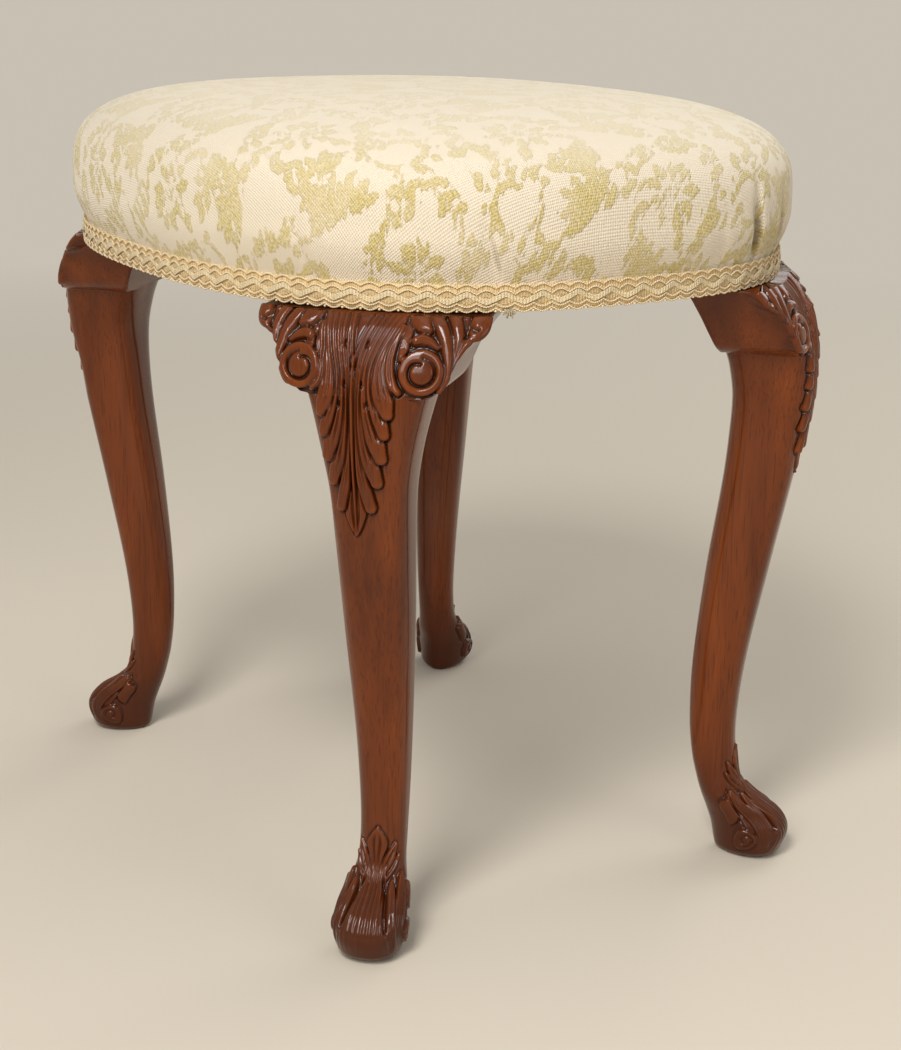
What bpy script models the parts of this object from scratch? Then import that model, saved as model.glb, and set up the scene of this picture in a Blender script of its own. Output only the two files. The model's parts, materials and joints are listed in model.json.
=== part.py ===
"""Oval dressing stool: four carved cabriole legs, a tenoned seat frame and a stuffed-over seat.

Metres, +Z up. The origin is on the floor under the middle of the seat, +X runs along the
seat's long axis and -Y is the front. Each leg is shaped in its own frame, where x points
outward through the knee, y runs along the rails and z is up from the floor.
"""
from math import cos, hypot, pi, radians, sin, tanh

import bmesh
import bpy
from mathutils import Matrix, Vector

for old in list(bpy.data.objects):
    bpy.data.objects.remove(old, do_unlink=True)

# Clearance between pieces that touch
GAP = 0.0003

# Seat outline, measured over the braid
SEAT_HALF_LENGTH = 0.2385
SEAT_HALF_WIDTH = 0.1958
OUTLINE_POWER = 2.46
OUTLINE_SEGMENTS = 48

# Seat height and padding
LEG_HEIGHT = 0.3687
SEAT_DEPTH = 0.1010
CROWN_HEIGHT = 0.0620
CROWN_EDGE_POWER = 4.15
CROWN_TOP_POWER = 3.49
SIDE_BULGE = 0.0040
COVER_THICKNESS = 0.0020
COVER_HEM = 0.0012
WADDING_CLEAR = 0.0075

# Braid that hides the cover's lower edge
BRAID_WIDTH = 0.0157
BRAID_THICKNESS = 0.0025
BRAID_RELIEF = 0.0009

# Seat frame
RAIL_THICKNESS = 0.030
RAIL_HEIGHT = 0.048
TENON_THICKNESS = 0.010
TENON_LENGTH = 0.016
TENON_SHOULDER = 0.006
POST_WIDTH = 0.042
POST_DEPTH = 0.0364
POST_LAP = 0.006

# Legs: where they stand and how they curve
LEG_BEARING = radians(34.96)
FOOT_OUTSET = 0.0063
LEG_SEGMENTS = 20
FOOT_LENGTH = 0.0511
FOOT_WIDTH = 0.0470
FOOT_HEIGHT = 0.0370
ANKLE_DEPTH = 0.0286
ANKLE_WIDTH = 0.0276
ANKLE_HEIGHT = 0.0630
ANKLE_SETBACK = 0.0310
KNEE_DEPTH = 0.0518
KNEE_WIDTH = 0.0660
KNEE_SETBACK = 0.0081
KNEE_BLOCK_WIDTH = 0.0440
KNEE_SHOULDER = 0.0183
KNEE_BACK_RAKE = 0.0185
KNEE_LAP = 0.003

# Ears that spread the knee along the rails
EAR_HEIGHT = 0.0407
EAR_FOOT_REACH = 0.0365
EAR_TOP_REACH = 0.0640
EAR_SWEEP = 0.0130
VOLUTE_OFFSET = 0.0335
VOLUTE_DROP = 0.0255
VOLUTE_RADIUS = 0.0092
VOLUTE_BEAD = 0.0019
VOLUTE_TURNS = 1.75
VOLUTE_EYE = 0.0030

# Corner braces behind the posts
BRACE_WIDTH = 0.108
BRACE_DEPTH = 0.0200
BRACE_HEIGHT = 0.034
SCREW_SPACING = 0.072
SCREW_LENGTH = 0.036
SCREW_RADIUS = 0.0021
SCREW_HEAD_RADIUS = 0.0042
SCREW_HEAD_HEIGHT = 0.0026

# Webbing, hessian and bottom cloth
STRAP_WIDTH = 0.050
STRAP_THICKNESS = 0.0016
STRAP_WEAVE = 0.0016
STRAP_INSET = 0.012
LONG_STRAPS = 3
LONG_STRAP_PITCH = 0.064
CROSS_STRAPS = 4
CROSS_STRAP_PITCH = 0.072
HESSIAN_THICKNESS = 0.0010
HESSIAN_INSET = 0.004
CLOTH_THICKNESS = 0.0010
CLOTH_INSET = 0.014
CLOTH_CORNER_CLEAR = 0.003

# Places that follow from the sizes above
RAIL_OUTSET = -(BRAID_THICKNESS + COVER_THICKNESS + 2 * GAP)
RAIL_BOTTOM = LEG_HEIGHT + GAP
RAIL_TOP = RAIL_BOTTOM + RAIL_HEIGHT
SEAT_TOP = RAIL_BOTTOM + SEAT_DEPTH
SHOULDER_HEIGHT = SEAT_TOP - CROWN_HEIGHT
BRAID_TOP = RAIL_BOTTOM + BRAID_WIDTH
STRAP_LEVEL = RAIL_TOP + GAP + STRAP_THICKNESS / 2
HESSIAN_BOTTOM = STRAP_LEVEL + STRAP_WEAVE + STRAP_THICKNESS / 2 + GAP
PAD_BOTTOM = HESSIAN_BOTTOM + HESSIAN_THICKNESS + GAP
EAR_BOTTOM = LEG_HEIGHT - EAR_HEIGHT
CORNERS = ("front_right", "back_right", "back_left", "front_left")
RAILS = ("rail_right", "rail_back", "rail_left", "rail_front")


def new_collection(name):
    collection = bpy.data.collections.new(name)
    bpy.context.scene.collection.children.link(collection)
    return collection


PARTS = new_collection("oval_dressing_stool")
CUTTERS = new_collection("cutters")


def new_material(name, colour, roughness, metallic=0.0):
    material = bpy.data.materials.new(name)
    material.use_nodes = True
    shader = material.node_tree.nodes["Principled BSDF"]
    shader.inputs["Base Color"].default_value = (*colour, 1.0)
    shader.inputs["Roughness"].default_value = roughness
    shader.inputs["Metallic"].default_value = metallic
    return material


WALNUT = new_material("polished_walnut", (0.16, 0.062, 0.026), 0.32)
BEECH = new_material("beech", (0.55, 0.36, 0.19), 0.60)
FABRIC = new_material("cut_velvet", (0.66, 0.58, 0.42), 0.90)
BRAID = new_material("gimp_braid", (0.52, 0.38, 0.20), 0.80)
STUFFING = new_material("hair_stuffing", (0.62, 0.55, 0.45), 0.95)
JUTE = new_material("jute_webbing", (0.45, 0.33, 0.18), 0.90)
HESSIAN = new_material("hessian", (0.40, 0.29, 0.16), 0.95)
CAMBRIC = new_material("black_cambric", (0.02, 0.02, 0.02), 0.85)
STEEL = new_material("steel_screw", (0.45, 0.44, 0.42), 0.40, 1.0)


def add_part(name, mesh, material, matrix=None):
    """Put a mesh in the stool under its own name."""
    if not mesh.materials:
        mesh.materials.append(material)
    mesh.shade_smooth()
    mesh.set_sharp_from_angle(angle=radians(40))
    part = bpy.data.objects.new(name, mesh)
    if matrix is not None:
        part.matrix_world = matrix
    PARTS.objects.link(part)
    return part


def add_cutter(name, mesh, matrix=None):
    cutter = bpy.data.objects.new(name, mesh)
    if matrix is not None:
        cutter.matrix_world = matrix
    cutter.hide_render = True
    cutter.display_type = "WIRE"
    CUTTERS.objects.link(cutter)
    return cutter


def cut(part, cutter, operation="DIFFERENCE"):
    boolean = part.modifiers.new(cutter.name, "BOOLEAN")
    boolean.operation = operation
    boolean.object = cutter


def settled_mesh(part, name):
    """Return the part's mesh with its modifiers applied, and remove the part."""
    bpy.context.view_layer.update()
    evaluated = part.evaluated_get(bpy.context.evaluated_depsgraph_get())
    mesh = bpy.data.meshes.new_from_object(evaluated)
    mesh.name = name
    bpy.data.objects.remove(part)
    return mesh


def loft_mesh(name, rings, close_start=True, close_end=True):
    """Skin rings of equal length, in order, and close the ends with a flat face."""
    bm = bmesh.new()
    loops = [[bm.verts.new(point) for point in ring] for ring in rings]
    for lower, upper in zip(loops, loops[1:]):
        for i, vert in enumerate(lower):
            following = (i + 1) % len(lower)
            bm.faces.new((vert, lower[following], upper[following], upper[i]))
    if close_start:
        bm.faces.new(reversed(loops[0]))
    if close_end:
        bm.faces.new(loops[-1])
    bmesh.ops.recalc_face_normals(bm, faces=bm.faces)
    mesh = bpy.data.meshes.new(name)
    bm.to_mesh(mesh)
    bm.free()
    return mesh


def box_mesh(name, low, high):
    """Return a box between two corners."""
    bm = bmesh.new()
    bmesh.ops.create_cube(bm, size=1.0)
    low, high = Vector(low), Vector(high)
    bmesh.ops.scale(bm, vec=high - low, verts=bm.verts)
    bmesh.ops.translate(bm, vec=(low + high) / 2, verts=bm.verts)
    mesh = bpy.data.meshes.new(name)
    bm.to_mesh(mesh)
    bm.free()
    return mesh


def smooth_value(rows, column, height):
    """Read one column of a list of rows at a height, on a smooth curve through the rows."""
    last = len(rows) - 1
    i = 0
    while i < last - 1 and rows[i + 1][0] <= height:
        i += 1
    before, start, end, after = rows[max(i - 1, 0)], rows[i], rows[i + 1], rows[min(i + 2, last)]
    span = end[0] - start[0]
    u = min(max((height - start[0]) / span, 0.0), 1.0)
    start_slope = (end[column] - before[column]) / (end[0] - before[0]) * span
    end_slope = (after[column] - start[column]) / (after[0] - start[0]) * span
    return ((2 * u**3 - 3 * u**2 + 1) * start[column] + (u**3 - 2 * u**2 + u) * start_slope
            + (3 * u**2 - 2 * u**3) * end[column] + (u**3 - u**2) * end_slope)


def outline_radius(angle, outset):
    along = abs(cos(angle)) / (SEAT_HALF_LENGTH + outset)
    across = abs(sin(angle)) / (SEAT_HALF_WIDTH + outset)
    return (along**OUTLINE_POWER + across**OUTLINE_POWER) ** (-1 / OUTLINE_POWER)


def outline_ring(outset, height, share=1.0):
    """Return one ring of the seat's outline, pushed out by outset and drawn in by share."""
    ring = []
    for i in range(OUTLINE_SEGMENTS):
        angle = 2 * pi * i / OUTLINE_SEGMENTS
        radius = share * outline_radius(angle, outset)
        ring.append((radius * cos(angle), radius * sin(angle), height))
    return ring


def half_chord(half_size, other_half_size, offset):
    """Return how far the seat frame reaches along one axis at an offset on the other."""
    return half_size * (1 - (offset / other_half_size) ** OUTLINE_POWER) ** (1 / OUTLINE_POWER)


# Leg frames
KNEE_POINT_RADIUS = outline_radius(LEG_BEARING, 0.0)
LEG_X = KNEE_POINT_RADIUS * cos(LEG_BEARING) + FOOT_OUTSET * cos(radians(45))
LEG_Y = KNEE_POINT_RADIUS * sin(LEG_BEARING) + FOOT_OUTSET * sin(radians(45))
LEG_PLACES = ((LEG_X, -LEG_Y, -45), (LEG_X, LEG_Y, 45), (-LEG_X, LEG_Y, 135), (-LEG_X, -LEG_Y, 225))
LEG_FRAMES = [Matrix.Translation((x, y, 0)) @ Matrix.Rotation(radians(turn), 4, "Z")
              for x, y, turn in LEG_PLACES]


def frame_face(offset, outset):
    """Return how far out the seat outline lies in a leg's frame, at an offset along the rails."""
    leg = LEG_FRAMES[1]
    low, high = -LEG_X, LEG_X
    for _ in range(60):
        middle = (low + high) / 2
        x, y, _ = leg @ Vector((middle, offset, 0))
        inside = (abs(x) / (SEAT_HALF_LENGTH + outset)) ** OUTLINE_POWER
        inside += (abs(y) / (SEAT_HALF_WIDTH + outset)) ** OUTLINE_POWER
        low, high = (middle, high) if inside < 1 else (low, middle)
    return low


POST_CHORD_SAG = KNEE_POINT_RADIUS * (1 - cos(pi / OUTLINE_SEGMENTS))
POST_FRONT = min(frame_face(side * POST_WIDTH / 2, RAIL_OUTSET) for side in (-1, 1)) - POST_CHORD_SAG
POST_BACK = POST_FRONT - POST_DEPTH
TENON_CENTRE = POST_FRONT - RAIL_THICKNESS / 2


# Cabriole legs, each with its knee, foot and top post in one piece
def between(share, thin, thick):
    return thin + share * (thick - thin)


FOOT_SHAPE = (
    # height, centre, depth and width as shares of the foot, corner power, heel as a share of the width
    (0.00, -0.13, 0.69, 0.70, 2.2, 0.64),
    (0.16, -0.09, 0.88, 0.90, 2.2, 0.64),
    (0.49, -0.09, 1.00, 1.00, 2.2, 0.64),
    (0.76, -0.19, 0.93, 0.95, 2.2, 0.64),
    (1.00, -0.37, 0.71, 0.80, 2.2, 0.74),
)
LEG_SHAPE = (
    # height and setback from ankle to knee, swelling in depth and in width, corner power, heel
    (-0.06, 0.27, 0.00, 0.05, 2.2, 0.90),
    (0.00, 0.10, 0.00, 0.00, 2.2, 1.00),
    (0.09, 0.02, 0.06, 0.03, 2.3, 1.00),
    (0.24, 0.10, 0.20, 0.10, 2.5, 1.00),
    (0.48, 0.47, 0.41, 0.26, 2.7, 1.00),
    (0.69, 0.86, 0.56, 0.37, 3.0, 1.00),
    (0.80, 1.03, 0.67, 0.45, 3.2, 1.00),
    (0.89, 1.11, 0.77, 0.64, 3.6, 1.00),
    (0.96, 1.07, 0.88, 0.86, 4.0, 1.00),
    (1.00, 1.00, 1.00, 1.00, 4.4, 1.00),
)
KNEE_TOP_SHAPE = ((0.0, 0.0), (0.25, 0.08), (0.50, 0.24), (0.73, 0.48), (0.90, 0.75), (1.0, 1.0))
LEG_LEVELS = 24
LEVEL_CROWDING = 1.25
EAR_COLUMNS = 4


def leg_rows():
    """Return the leg's sections from sole to knee: height, centre, depth, width, corner power, heel."""
    rows = []
    for height, centre, depth, width, power, heel in FOOT_SHAPE:
        rows.append((height * FOOT_HEIGHT, centre * FOOT_LENGTH, depth * FOOT_LENGTH,
                     width * FOOT_WIDTH, power, heel))
    for height, setback, depth, width, power, heel in LEG_SHAPE:
        rows.append((between(height, ANKLE_HEIGHT, EAR_BOTTOM),
                     -between(setback, ANKLE_SETBACK, KNEE_SETBACK),
                     between(depth, ANKLE_DEPTH, KNEE_DEPTH),
                     between(width, ANKLE_WIDTH, KNEE_WIDTH), power, heel))
    return rows


def section(height, front, back, width, power, heel):
    """Return a rounded rectangular ring across the leg, narrowed towards its heel."""
    ring = []
    for i in range(LEG_SEGMENTS):
        angle = 2 * pi * i / LEG_SEGMENTS + pi / 4
        x, y = cos(angle), sin(angle)
        x = abs(x) ** (2 / power) * (1 if x > 0 else -1)
        y = abs(y) ** (2 / power) * (1 if y > 0 else -1)
        narrowed = width * (1 - (1 - heel) * ((1 - x) / 2) ** 2)
        ring.append(((front + back) / 2 + x * (front - back) / 2, y * narrowed / 2, height))
    return ring


KNEE_FRONT = KNEE_DEPTH / 2 - KNEE_SETBACK
KNEE_BACK = -KNEE_DEPTH / 2 - KNEE_SETBACK
KNEE_TOP_ROWS = [(EAR_BOTTOM + height * EAR_HEIGHT,
                  KNEE_FRONT - fall * KNEE_SHOULDER,
                  KNEE_BACK - height * KNEE_BACK_RAKE) for height, fall in KNEE_TOP_SHAPE]


def ear_front(offset, height):
    """Return how far out the knee's face lies, which bends back along the rails."""
    sweep = EAR_SWEEP * (offset / EAR_TOP_REACH) ** 2
    return smooth_value(KNEE_TOP_ROWS, 1, height) - sweep


def knee_ring(height, start, end):
    """Return a level ring through the knee or an ear, from one offset along the rails to another."""
    back = smooth_value(KNEE_TOP_ROWS, 2, height)
    ring = [(back, start, height)]
    for column in range(EAR_COLUMNS + 1):
        offset = between(column / EAR_COLUMNS, start, end)
        ring.append((ear_front(offset, height), offset, height))
    ring.append((back, end, height))
    return ring


def leg_mesh():
    rows = leg_rows()
    rings = []
    for level in range(LEG_LEVELS + 1):
        height = EAR_BOTTOM * (level / LEG_LEVELS) ** LEVEL_CROWDING
        centre, depth, width, power, heel = (smooth_value(rows, column, height) for column in range(1, 6))
        rings.append(section(height, centre + depth / 2, centre - depth / 2, width, power, heel))
    leg = add_cutter("leg_master", loft_mesh("leg_blank", rings))
    half = KNEE_BLOCK_WIDTH / 2
    rings = [knee_ring(EAR_BOTTOM - KNEE_LAP, -half, half)]
    rings += [knee_ring(height, -half, half) for height, front, back in KNEE_TOP_ROWS]
    cut(leg, add_cutter("knee_block", loft_mesh("knee_block", rings)), "UNION")
    post = box_mesh("post", (POST_BACK, -POST_WIDTH / 2, LEG_HEIGHT - POST_LAP),
                    (POST_FRONT, POST_WIDTH / 2, RAIL_TOP))
    cut(leg, add_cutter("post", post), "UNION")
    for side in (-1, 1):
        ends = sorted((side * (POST_WIDTH / 2 - TENON_LENGTH - GAP), side * POST_WIDTH))
        mortise = box_mesh("mortise",
                           (TENON_CENTRE - TENON_THICKNESS / 2 - GAP, ends[0],
                            RAIL_BOTTOM + TENON_SHOULDER - GAP),
                           (TENON_CENTRE + TENON_THICKNESS / 2 + GAP, ends[1],
                            RAIL_TOP - TENON_SHOULDER + GAP))
        cut(leg, add_cutter("mortise", mortise))
    return settled_mesh(leg, "leg")


LEG_MESH = leg_mesh()
for corner, frame in zip(CORNERS, LEG_FRAMES):
    add_part("leg_" + corner, LEG_MESH, WALNUT, frame)


# Ears glued under the rails at each side of the knee, each with a volute on its face
EAR_SHAPE = ((0.0, 0.0), (0.12, 0.18), (0.42, 0.40), (0.70, 0.68), (0.88, 0.94), (1.0, 1.0))
EAR_LEVELS = 9


def volute_curve():
    """Return a bead coiled on a volute's face, in the ear's plane."""
    curve = bpy.data.curves.new("volute_bead", "CURVE")
    curve.dimensions = "3D"
    curve.bevel_depth = VOLUTE_BEAD
    curve.bevel_resolution = 1
    curve.use_fill_caps = True
    points = []
    count = int(14 * VOLUTE_TURNS)
    for i in range(count + 1):
        share = i / count
        angle = radians(250) - 2 * pi * VOLUTE_TURNS * share
        radius = between(share, VOLUTE_RADIUS, VOLUTE_EYE)
        points.append((0.0, radius * cos(angle), radius * sin(angle)))
    spline = curve.splines.new("POLY")
    spline.points.add(len(points) - 1)
    for i, (point, place) in enumerate(zip(spline.points, points)):
        point.co = (*place, 1.0)
        point.radius = between(i / count, 1.0, 0.6)
    return curve


def volute_bead():
    mesh = settled_mesh(add_cutter("volute_bead", volute_curve()), "volute_bead")
    bm = bmesh.new()
    bm.from_mesh(mesh)
    bmesh.ops.remove_doubles(bm, verts=bm.verts, dist=0.00001)
    bmesh.ops.recalc_face_normals(bm, faces=bm.faces)
    bm.to_mesh(mesh)
    bm.free()
    return mesh


def volute_disc(radius, thickness, segments):
    """Return a disc on the x axis, thickness deep each way."""
    bm = bmesh.new()
    bmesh.ops.create_cone(bm, cap_ends=True, segments=segments, radius1=radius, radius2=radius * 0.9,
                          depth=2 * thickness, matrix=Matrix.Rotation(pi / 2, 4, "Y"))
    mesh = bpy.data.meshes.new("volute_disc")
    bm.to_mesh(mesh)
    bm.free()
    return mesh


def ear_mesh():
    rows = [(EAR_BOTTOM + GAP + height * (EAR_HEIGHT - GAP), between(reach, EAR_FOOT_REACH, EAR_TOP_REACH))
            for height, reach in EAR_SHAPE]
    rings = []
    for level in range(EAR_LEVELS + 1):
        height = EAR_BOTTOM + GAP + (EAR_HEIGHT - GAP) * level / EAR_LEVELS
        rings.append(knee_ring(height, KNEE_BLOCK_WIDTH / 2 + GAP, smooth_value(rows, 1, height)))
    ear = add_cutter("ear_master", loft_mesh("ear_blank", rings))
    height = LEG_HEIGHT - VOLUTE_DROP
    step = VOLUTE_RADIUS / 2
    lean = (ear_front(VOLUTE_OFFSET, height - step) - ear_front(VOLUTE_OFFSET, height + step)) / VOLUTE_RADIUS
    yaw = (ear_front(VOLUTE_OFFSET - step, height) - ear_front(VOLUTE_OFFSET + step, height)) / VOLUTE_RADIUS
    place = Matrix.Translation((ear_front(VOLUTE_OFFSET, height), VOLUTE_OFFSET, height))
    place = place @ Matrix.Rotation(yaw, 4, "Z") @ Matrix.Rotation(-lean, 4, "Y")
    disc = volute_disc(VOLUTE_RADIUS + VOLUTE_BEAD, VOLUTE_BEAD * 0.7, 20)
    cut(ear, add_cutter("volute_ground", disc, place), "UNION")
    lift = Matrix.Translation((VOLUTE_BEAD * 0.7, 0, 0))
    cut(ear, add_cutter("volute_coil", volute_bead(), place @ lift), "UNION")
    eye = volute_disc(VOLUTE_EYE, VOLUTE_BEAD * 1.5, 10)
    cut(ear, add_cutter("volute_eye", eye, place @ lift), "UNION")
    return settled_mesh(ear, "ear_left_hand")


EAR_MESH = ear_mesh()
EAR_MIRROR_MESH = EAR_MESH.copy()
EAR_MIRROR_MESH.name = "ear_right_hand"
EAR_MIRROR_MESH.transform(Matrix.Diagonal((1, -1, 1, 1)))
EAR_MIRROR_MESH.flip_normals()
for i, (corner, frame) in enumerate(zip(CORNERS, LEG_FRAMES)):
    hands = ("end", "side") if i % 2 == 0 else ("side", "end")
    add_part("ear_" + corner + "_" + hands[0], EAR_MESH, WALNUT, frame)
    add_part("ear_" + corner + "_" + hands[1], EAR_MIRROR_MESH, WALNUT, frame)


# Corner braces, and the screws that hold them to the rails
BRACE_FRONT = POST_FRONT
BRACE_BACK = POST_BACK - BRACE_DEPTH
BRACE_BOTTOM = RAIL_BOTTOM + (RAIL_HEIGHT - BRACE_HEIGHT) / 2
SCREW_HEIGHT = BRACE_BOTTOM + BRACE_HEIGHT / 2
SCREW_STEPS = 10


def screw_profile(name, clearance):
    """Return half a countersunk screw, running down its outer side from the head."""
    shank = SCREW_RADIUS + clearance
    points = ((0, clearance), (SCREW_HEAD_RADIUS + clearance, clearance), (shank, -SCREW_HEAD_HEIGHT),
              (shank, 2 * SCREW_RADIUS - SCREW_LENGTH), (0, -SCREW_LENGTH - clearance))
    bm = bmesh.new()
    verts = [bm.verts.new((radius, 0, height)) for radius, height in points]
    for upper, lower in zip(verts, verts[1:]):
        bm.edges.new((upper, lower))
    mesh = bpy.data.meshes.new(name)
    bm.to_mesh(mesh)
    bm.free()
    return mesh


def turn_profile(part):
    screw = part.modifiers.new("turned", "SCREW")
    screw.steps = SCREW_STEPS
    screw.render_steps = SCREW_STEPS
    screw.use_merge_vertices = True
    screw.merge_threshold = 0.00001


def screw_frame(frame, side):
    place = Matrix.Translation((BRACE_BACK, side * SCREW_SPACING / 2, SCREW_HEIGHT))
    return frame @ place @ Matrix.Rotation(-pi / 2, 4, "Y")


SCREW_MESH = screw_profile("screw", 0.0)
SCREW_HOLE_MESH = screw_profile("screw_hole", GAP)
RAIL_HOLES = {rail: [] for rail in RAILS}
RAIL_CLEAR_RING = [outline_ring(RAIL_OUTSET - RAIL_THICKNESS - GAP, BRACE_BOTTOM - RAIL_HEIGHT),
                   outline_ring(RAIL_OUTSET - RAIL_THICKNESS - GAP, RAIL_TOP + RAIL_HEIGHT)]


def brace_mesh():
    half, narrow = BRACE_WIDTH / 2, BRACE_WIDTH / 2 - BRACE_DEPTH / 2
    ends = ((BRACE_FRONT, -half), (BRACE_FRONT, half), (POST_BACK, half),
            (BRACE_BACK, narrow), (BRACE_BACK, -narrow), (POST_BACK, -half))
    rings = [[(x, y, height) for x, y in ends] for height in (BRACE_BOTTOM, BRACE_BOTTOM + BRACE_HEIGHT)]
    return loft_mesh("corner_brace", rings)


INSIDE_RAILS = add_cutter("inside_of_rails", loft_mesh("inside_of_rails", RAIL_CLEAR_RING))
POST_CLEAR = box_mesh("post_clearance", (POST_BACK - GAP, -POST_WIDTH / 2 - GAP, RAIL_BOTTOM - RAIL_HEIGHT),
                      (POST_FRONT + RAIL_HEIGHT, POST_WIDTH / 2 + GAP, RAIL_TOP + RAIL_HEIGHT))
for i, (corner, frame) in enumerate(zip(CORNERS, LEG_FRAMES)):
    brace = add_part("corner_brace_" + corner, brace_mesh(), BEECH, frame)
    cut(brace, INSIDE_RAILS, "INTERSECT")
    cut(brace, add_cutter("post_clearance_" + corner, POST_CLEAR, frame))
    for side, hand, rail in ((1, "a", RAILS[i]), (-1, "b", RAILS[i - 1])):
        hole = add_cutter("screw_hole_" + corner + "_" + hand, SCREW_HOLE_MESH, screw_frame(frame, side))
        turn_profile(hole)
        cut(brace, hole)
        RAIL_HOLES[rail].append(hole)
        name = "brace_screw_" + corner + "_" + hand
        turn_profile(add_part(name, SCREW_MESH, STEEL, screw_frame(frame, side)))


# Curved rails tenoned into the posts
def rail_mesh(name, first, second):
    """Return the part of the oval frame between two legs."""
    bm = bmesh.new()
    outer = [bm.verts.new(point) for point in outline_ring(RAIL_OUTSET, RAIL_BOTTOM)]
    inner = [bm.verts.new(point) for point in outline_ring(RAIL_OUTSET - RAIL_THICKNESS, RAIL_BOTTOM)]
    for i, vert in enumerate(outer):
        following = (i + 1) % OUTLINE_SEGMENTS
        bm.faces.new((vert, inner[i], inner[following], outer[following]))
    raised = bmesh.ops.extrude_face_region(bm, geom=bm.faces[:])["geom"]
    bmesh.ops.translate(bm, vec=(0, 0, RAIL_HEIGHT),
                        verts=[item for item in raised if isinstance(item, bmesh.types.BMVert)])
    for frame, side in ((first, 1), (second, -1)):
        face = frame @ Vector((0, side * (POST_WIDTH / 2 + GAP), 0))
        away = frame.to_3x3() @ Vector((0, -side, 0))
        bmesh.ops.bisect_plane(bm, geom=bm.verts[:] + bm.edges[:] + bm.faces[:], dist=0.000001,
                               plane_co=face, plane_no=away, clear_outer=True)
        bmesh.ops.holes_fill(bm, edges=[edge for edge in bm.edges if edge.is_boundary], sides=0)
    bmesh.ops.recalc_face_normals(bm, faces=bm.faces)
    mesh = bpy.data.meshes.new(name)
    bm.to_mesh(mesh)
    bm.free()
    return mesh


def tenon_mesh(side):
    ends = sorted((side * (POST_WIDTH / 2 - TENON_LENGTH), side * (POST_WIDTH / 2 + TENON_LENGTH / 2)))
    return box_mesh("tenon",
                    (TENON_CENTRE - TENON_THICKNESS / 2, ends[0], RAIL_BOTTOM + TENON_SHOULDER),
                    (TENON_CENTRE + TENON_THICKNESS / 2, ends[1], RAIL_TOP - TENON_SHOULDER))


for i, name in enumerate(RAILS):
    first, second = LEG_FRAMES[i], LEG_FRAMES[(i + 1) % len(LEG_FRAMES)]
    rail = add_part(name, rail_mesh(name, first, second), BEECH)
    cut(rail, add_cutter(name + "_first_tenon", tenon_mesh(1), first), "UNION")
    cut(rail, add_cutter(name + "_second_tenon", tenon_mesh(-1), second), "UNION")
    for hole in RAIL_HOLES[name]:
        cut(rail, hole)


# Interlaced webbing tacked across the top of the frame
STRAP_STEPS_PER_PITCH = 6


def weave_height(along, pitch, count, phase):
    """Return how far a strap rises or falls as it passes over and under the crossing straps."""
    reach = pitch * count / 2
    if abs(along) >= reach:
        return 0.0
    wave = cos(pi * (along / pitch + (count - 1) / 2))
    return phase * STRAP_WEAVE * tanh(2.2 * wave) / tanh(2.2)


def strap_mesh(name, across, end, pitch, count, phase, lengthwise):
    steps = STRAP_STEPS_PER_PITCH * count
    places = [-end] + [pitch * count * (i / steps - 0.5) for i in range(steps + 1)] + [end]
    rings = []
    for along in places:
        level = STRAP_LEVEL + weave_height(along, pitch, count, phase)
        ring = []
        for side, rise in ((-1, -1), (1, -1), (1, 1), (-1, 1)):
            place = (along, across + side * STRAP_WIDTH / 2)
            x, y = place if lengthwise else (place[1], place[0])
            ring.append((x, y, level + rise * STRAP_THICKNESS / 2))
        rings.append(ring)
    return loft_mesh(name, rings)


FRAME_HALF_LENGTH = SEAT_HALF_LENGTH + RAIL_OUTSET
FRAME_HALF_WIDTH = SEAT_HALF_WIDTH + RAIL_OUTSET
for i in range(LONG_STRAPS):
    across = LONG_STRAP_PITCH * (i - (LONG_STRAPS - 1) / 2)
    end = half_chord(FRAME_HALF_LENGTH, FRAME_HALF_WIDTH, abs(across) + STRAP_WIDTH / 2) - STRAP_INSET
    name = "webbing_long_" + str(i + 1)
    mesh = strap_mesh(name, across, end, CROSS_STRAP_PITCH, CROSS_STRAPS, (-1) ** i, True)
    add_part(name, mesh, JUTE)
for i in range(CROSS_STRAPS):
    across = CROSS_STRAP_PITCH * (i - (CROSS_STRAPS - 1) / 2)
    end = half_chord(FRAME_HALF_WIDTH, FRAME_HALF_LENGTH, abs(across) + STRAP_WIDTH / 2) - STRAP_INSET
    name = "webbing_cross_" + str(i + 1)
    mesh = strap_mesh(name, across, end, LONG_STRAP_PITCH, LONG_STRAPS, -((-1) ** i), False)
    add_part(name, mesh, JUTE)


# Hessian laid over the webbing
HESSIAN_OUTSET = RAIL_OUTSET - HESSIAN_INSET
HESSIAN_RINGS = [outline_ring(HESSIAN_OUTSET, HESSIAN_BOTTOM),
                 outline_ring(HESSIAN_OUTSET, HESSIAN_BOTTOM + HESSIAN_THICKNESS)]
add_part("hessian", loft_mesh("hessian", HESSIAN_RINGS), HESSIAN)

# Seat profile: a flat crown that rolls over into sides drawn in to the braid
CROWN_SHARES = (0.14, 0.36, 0.56, 0.72, 0.83, 0.91, 0.96, 0.987, 1.0)
SIDE_SHARES = (0.35, 0.70, 1.0)
BRAID_INSET = BRAID_THICKNESS + GAP


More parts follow.
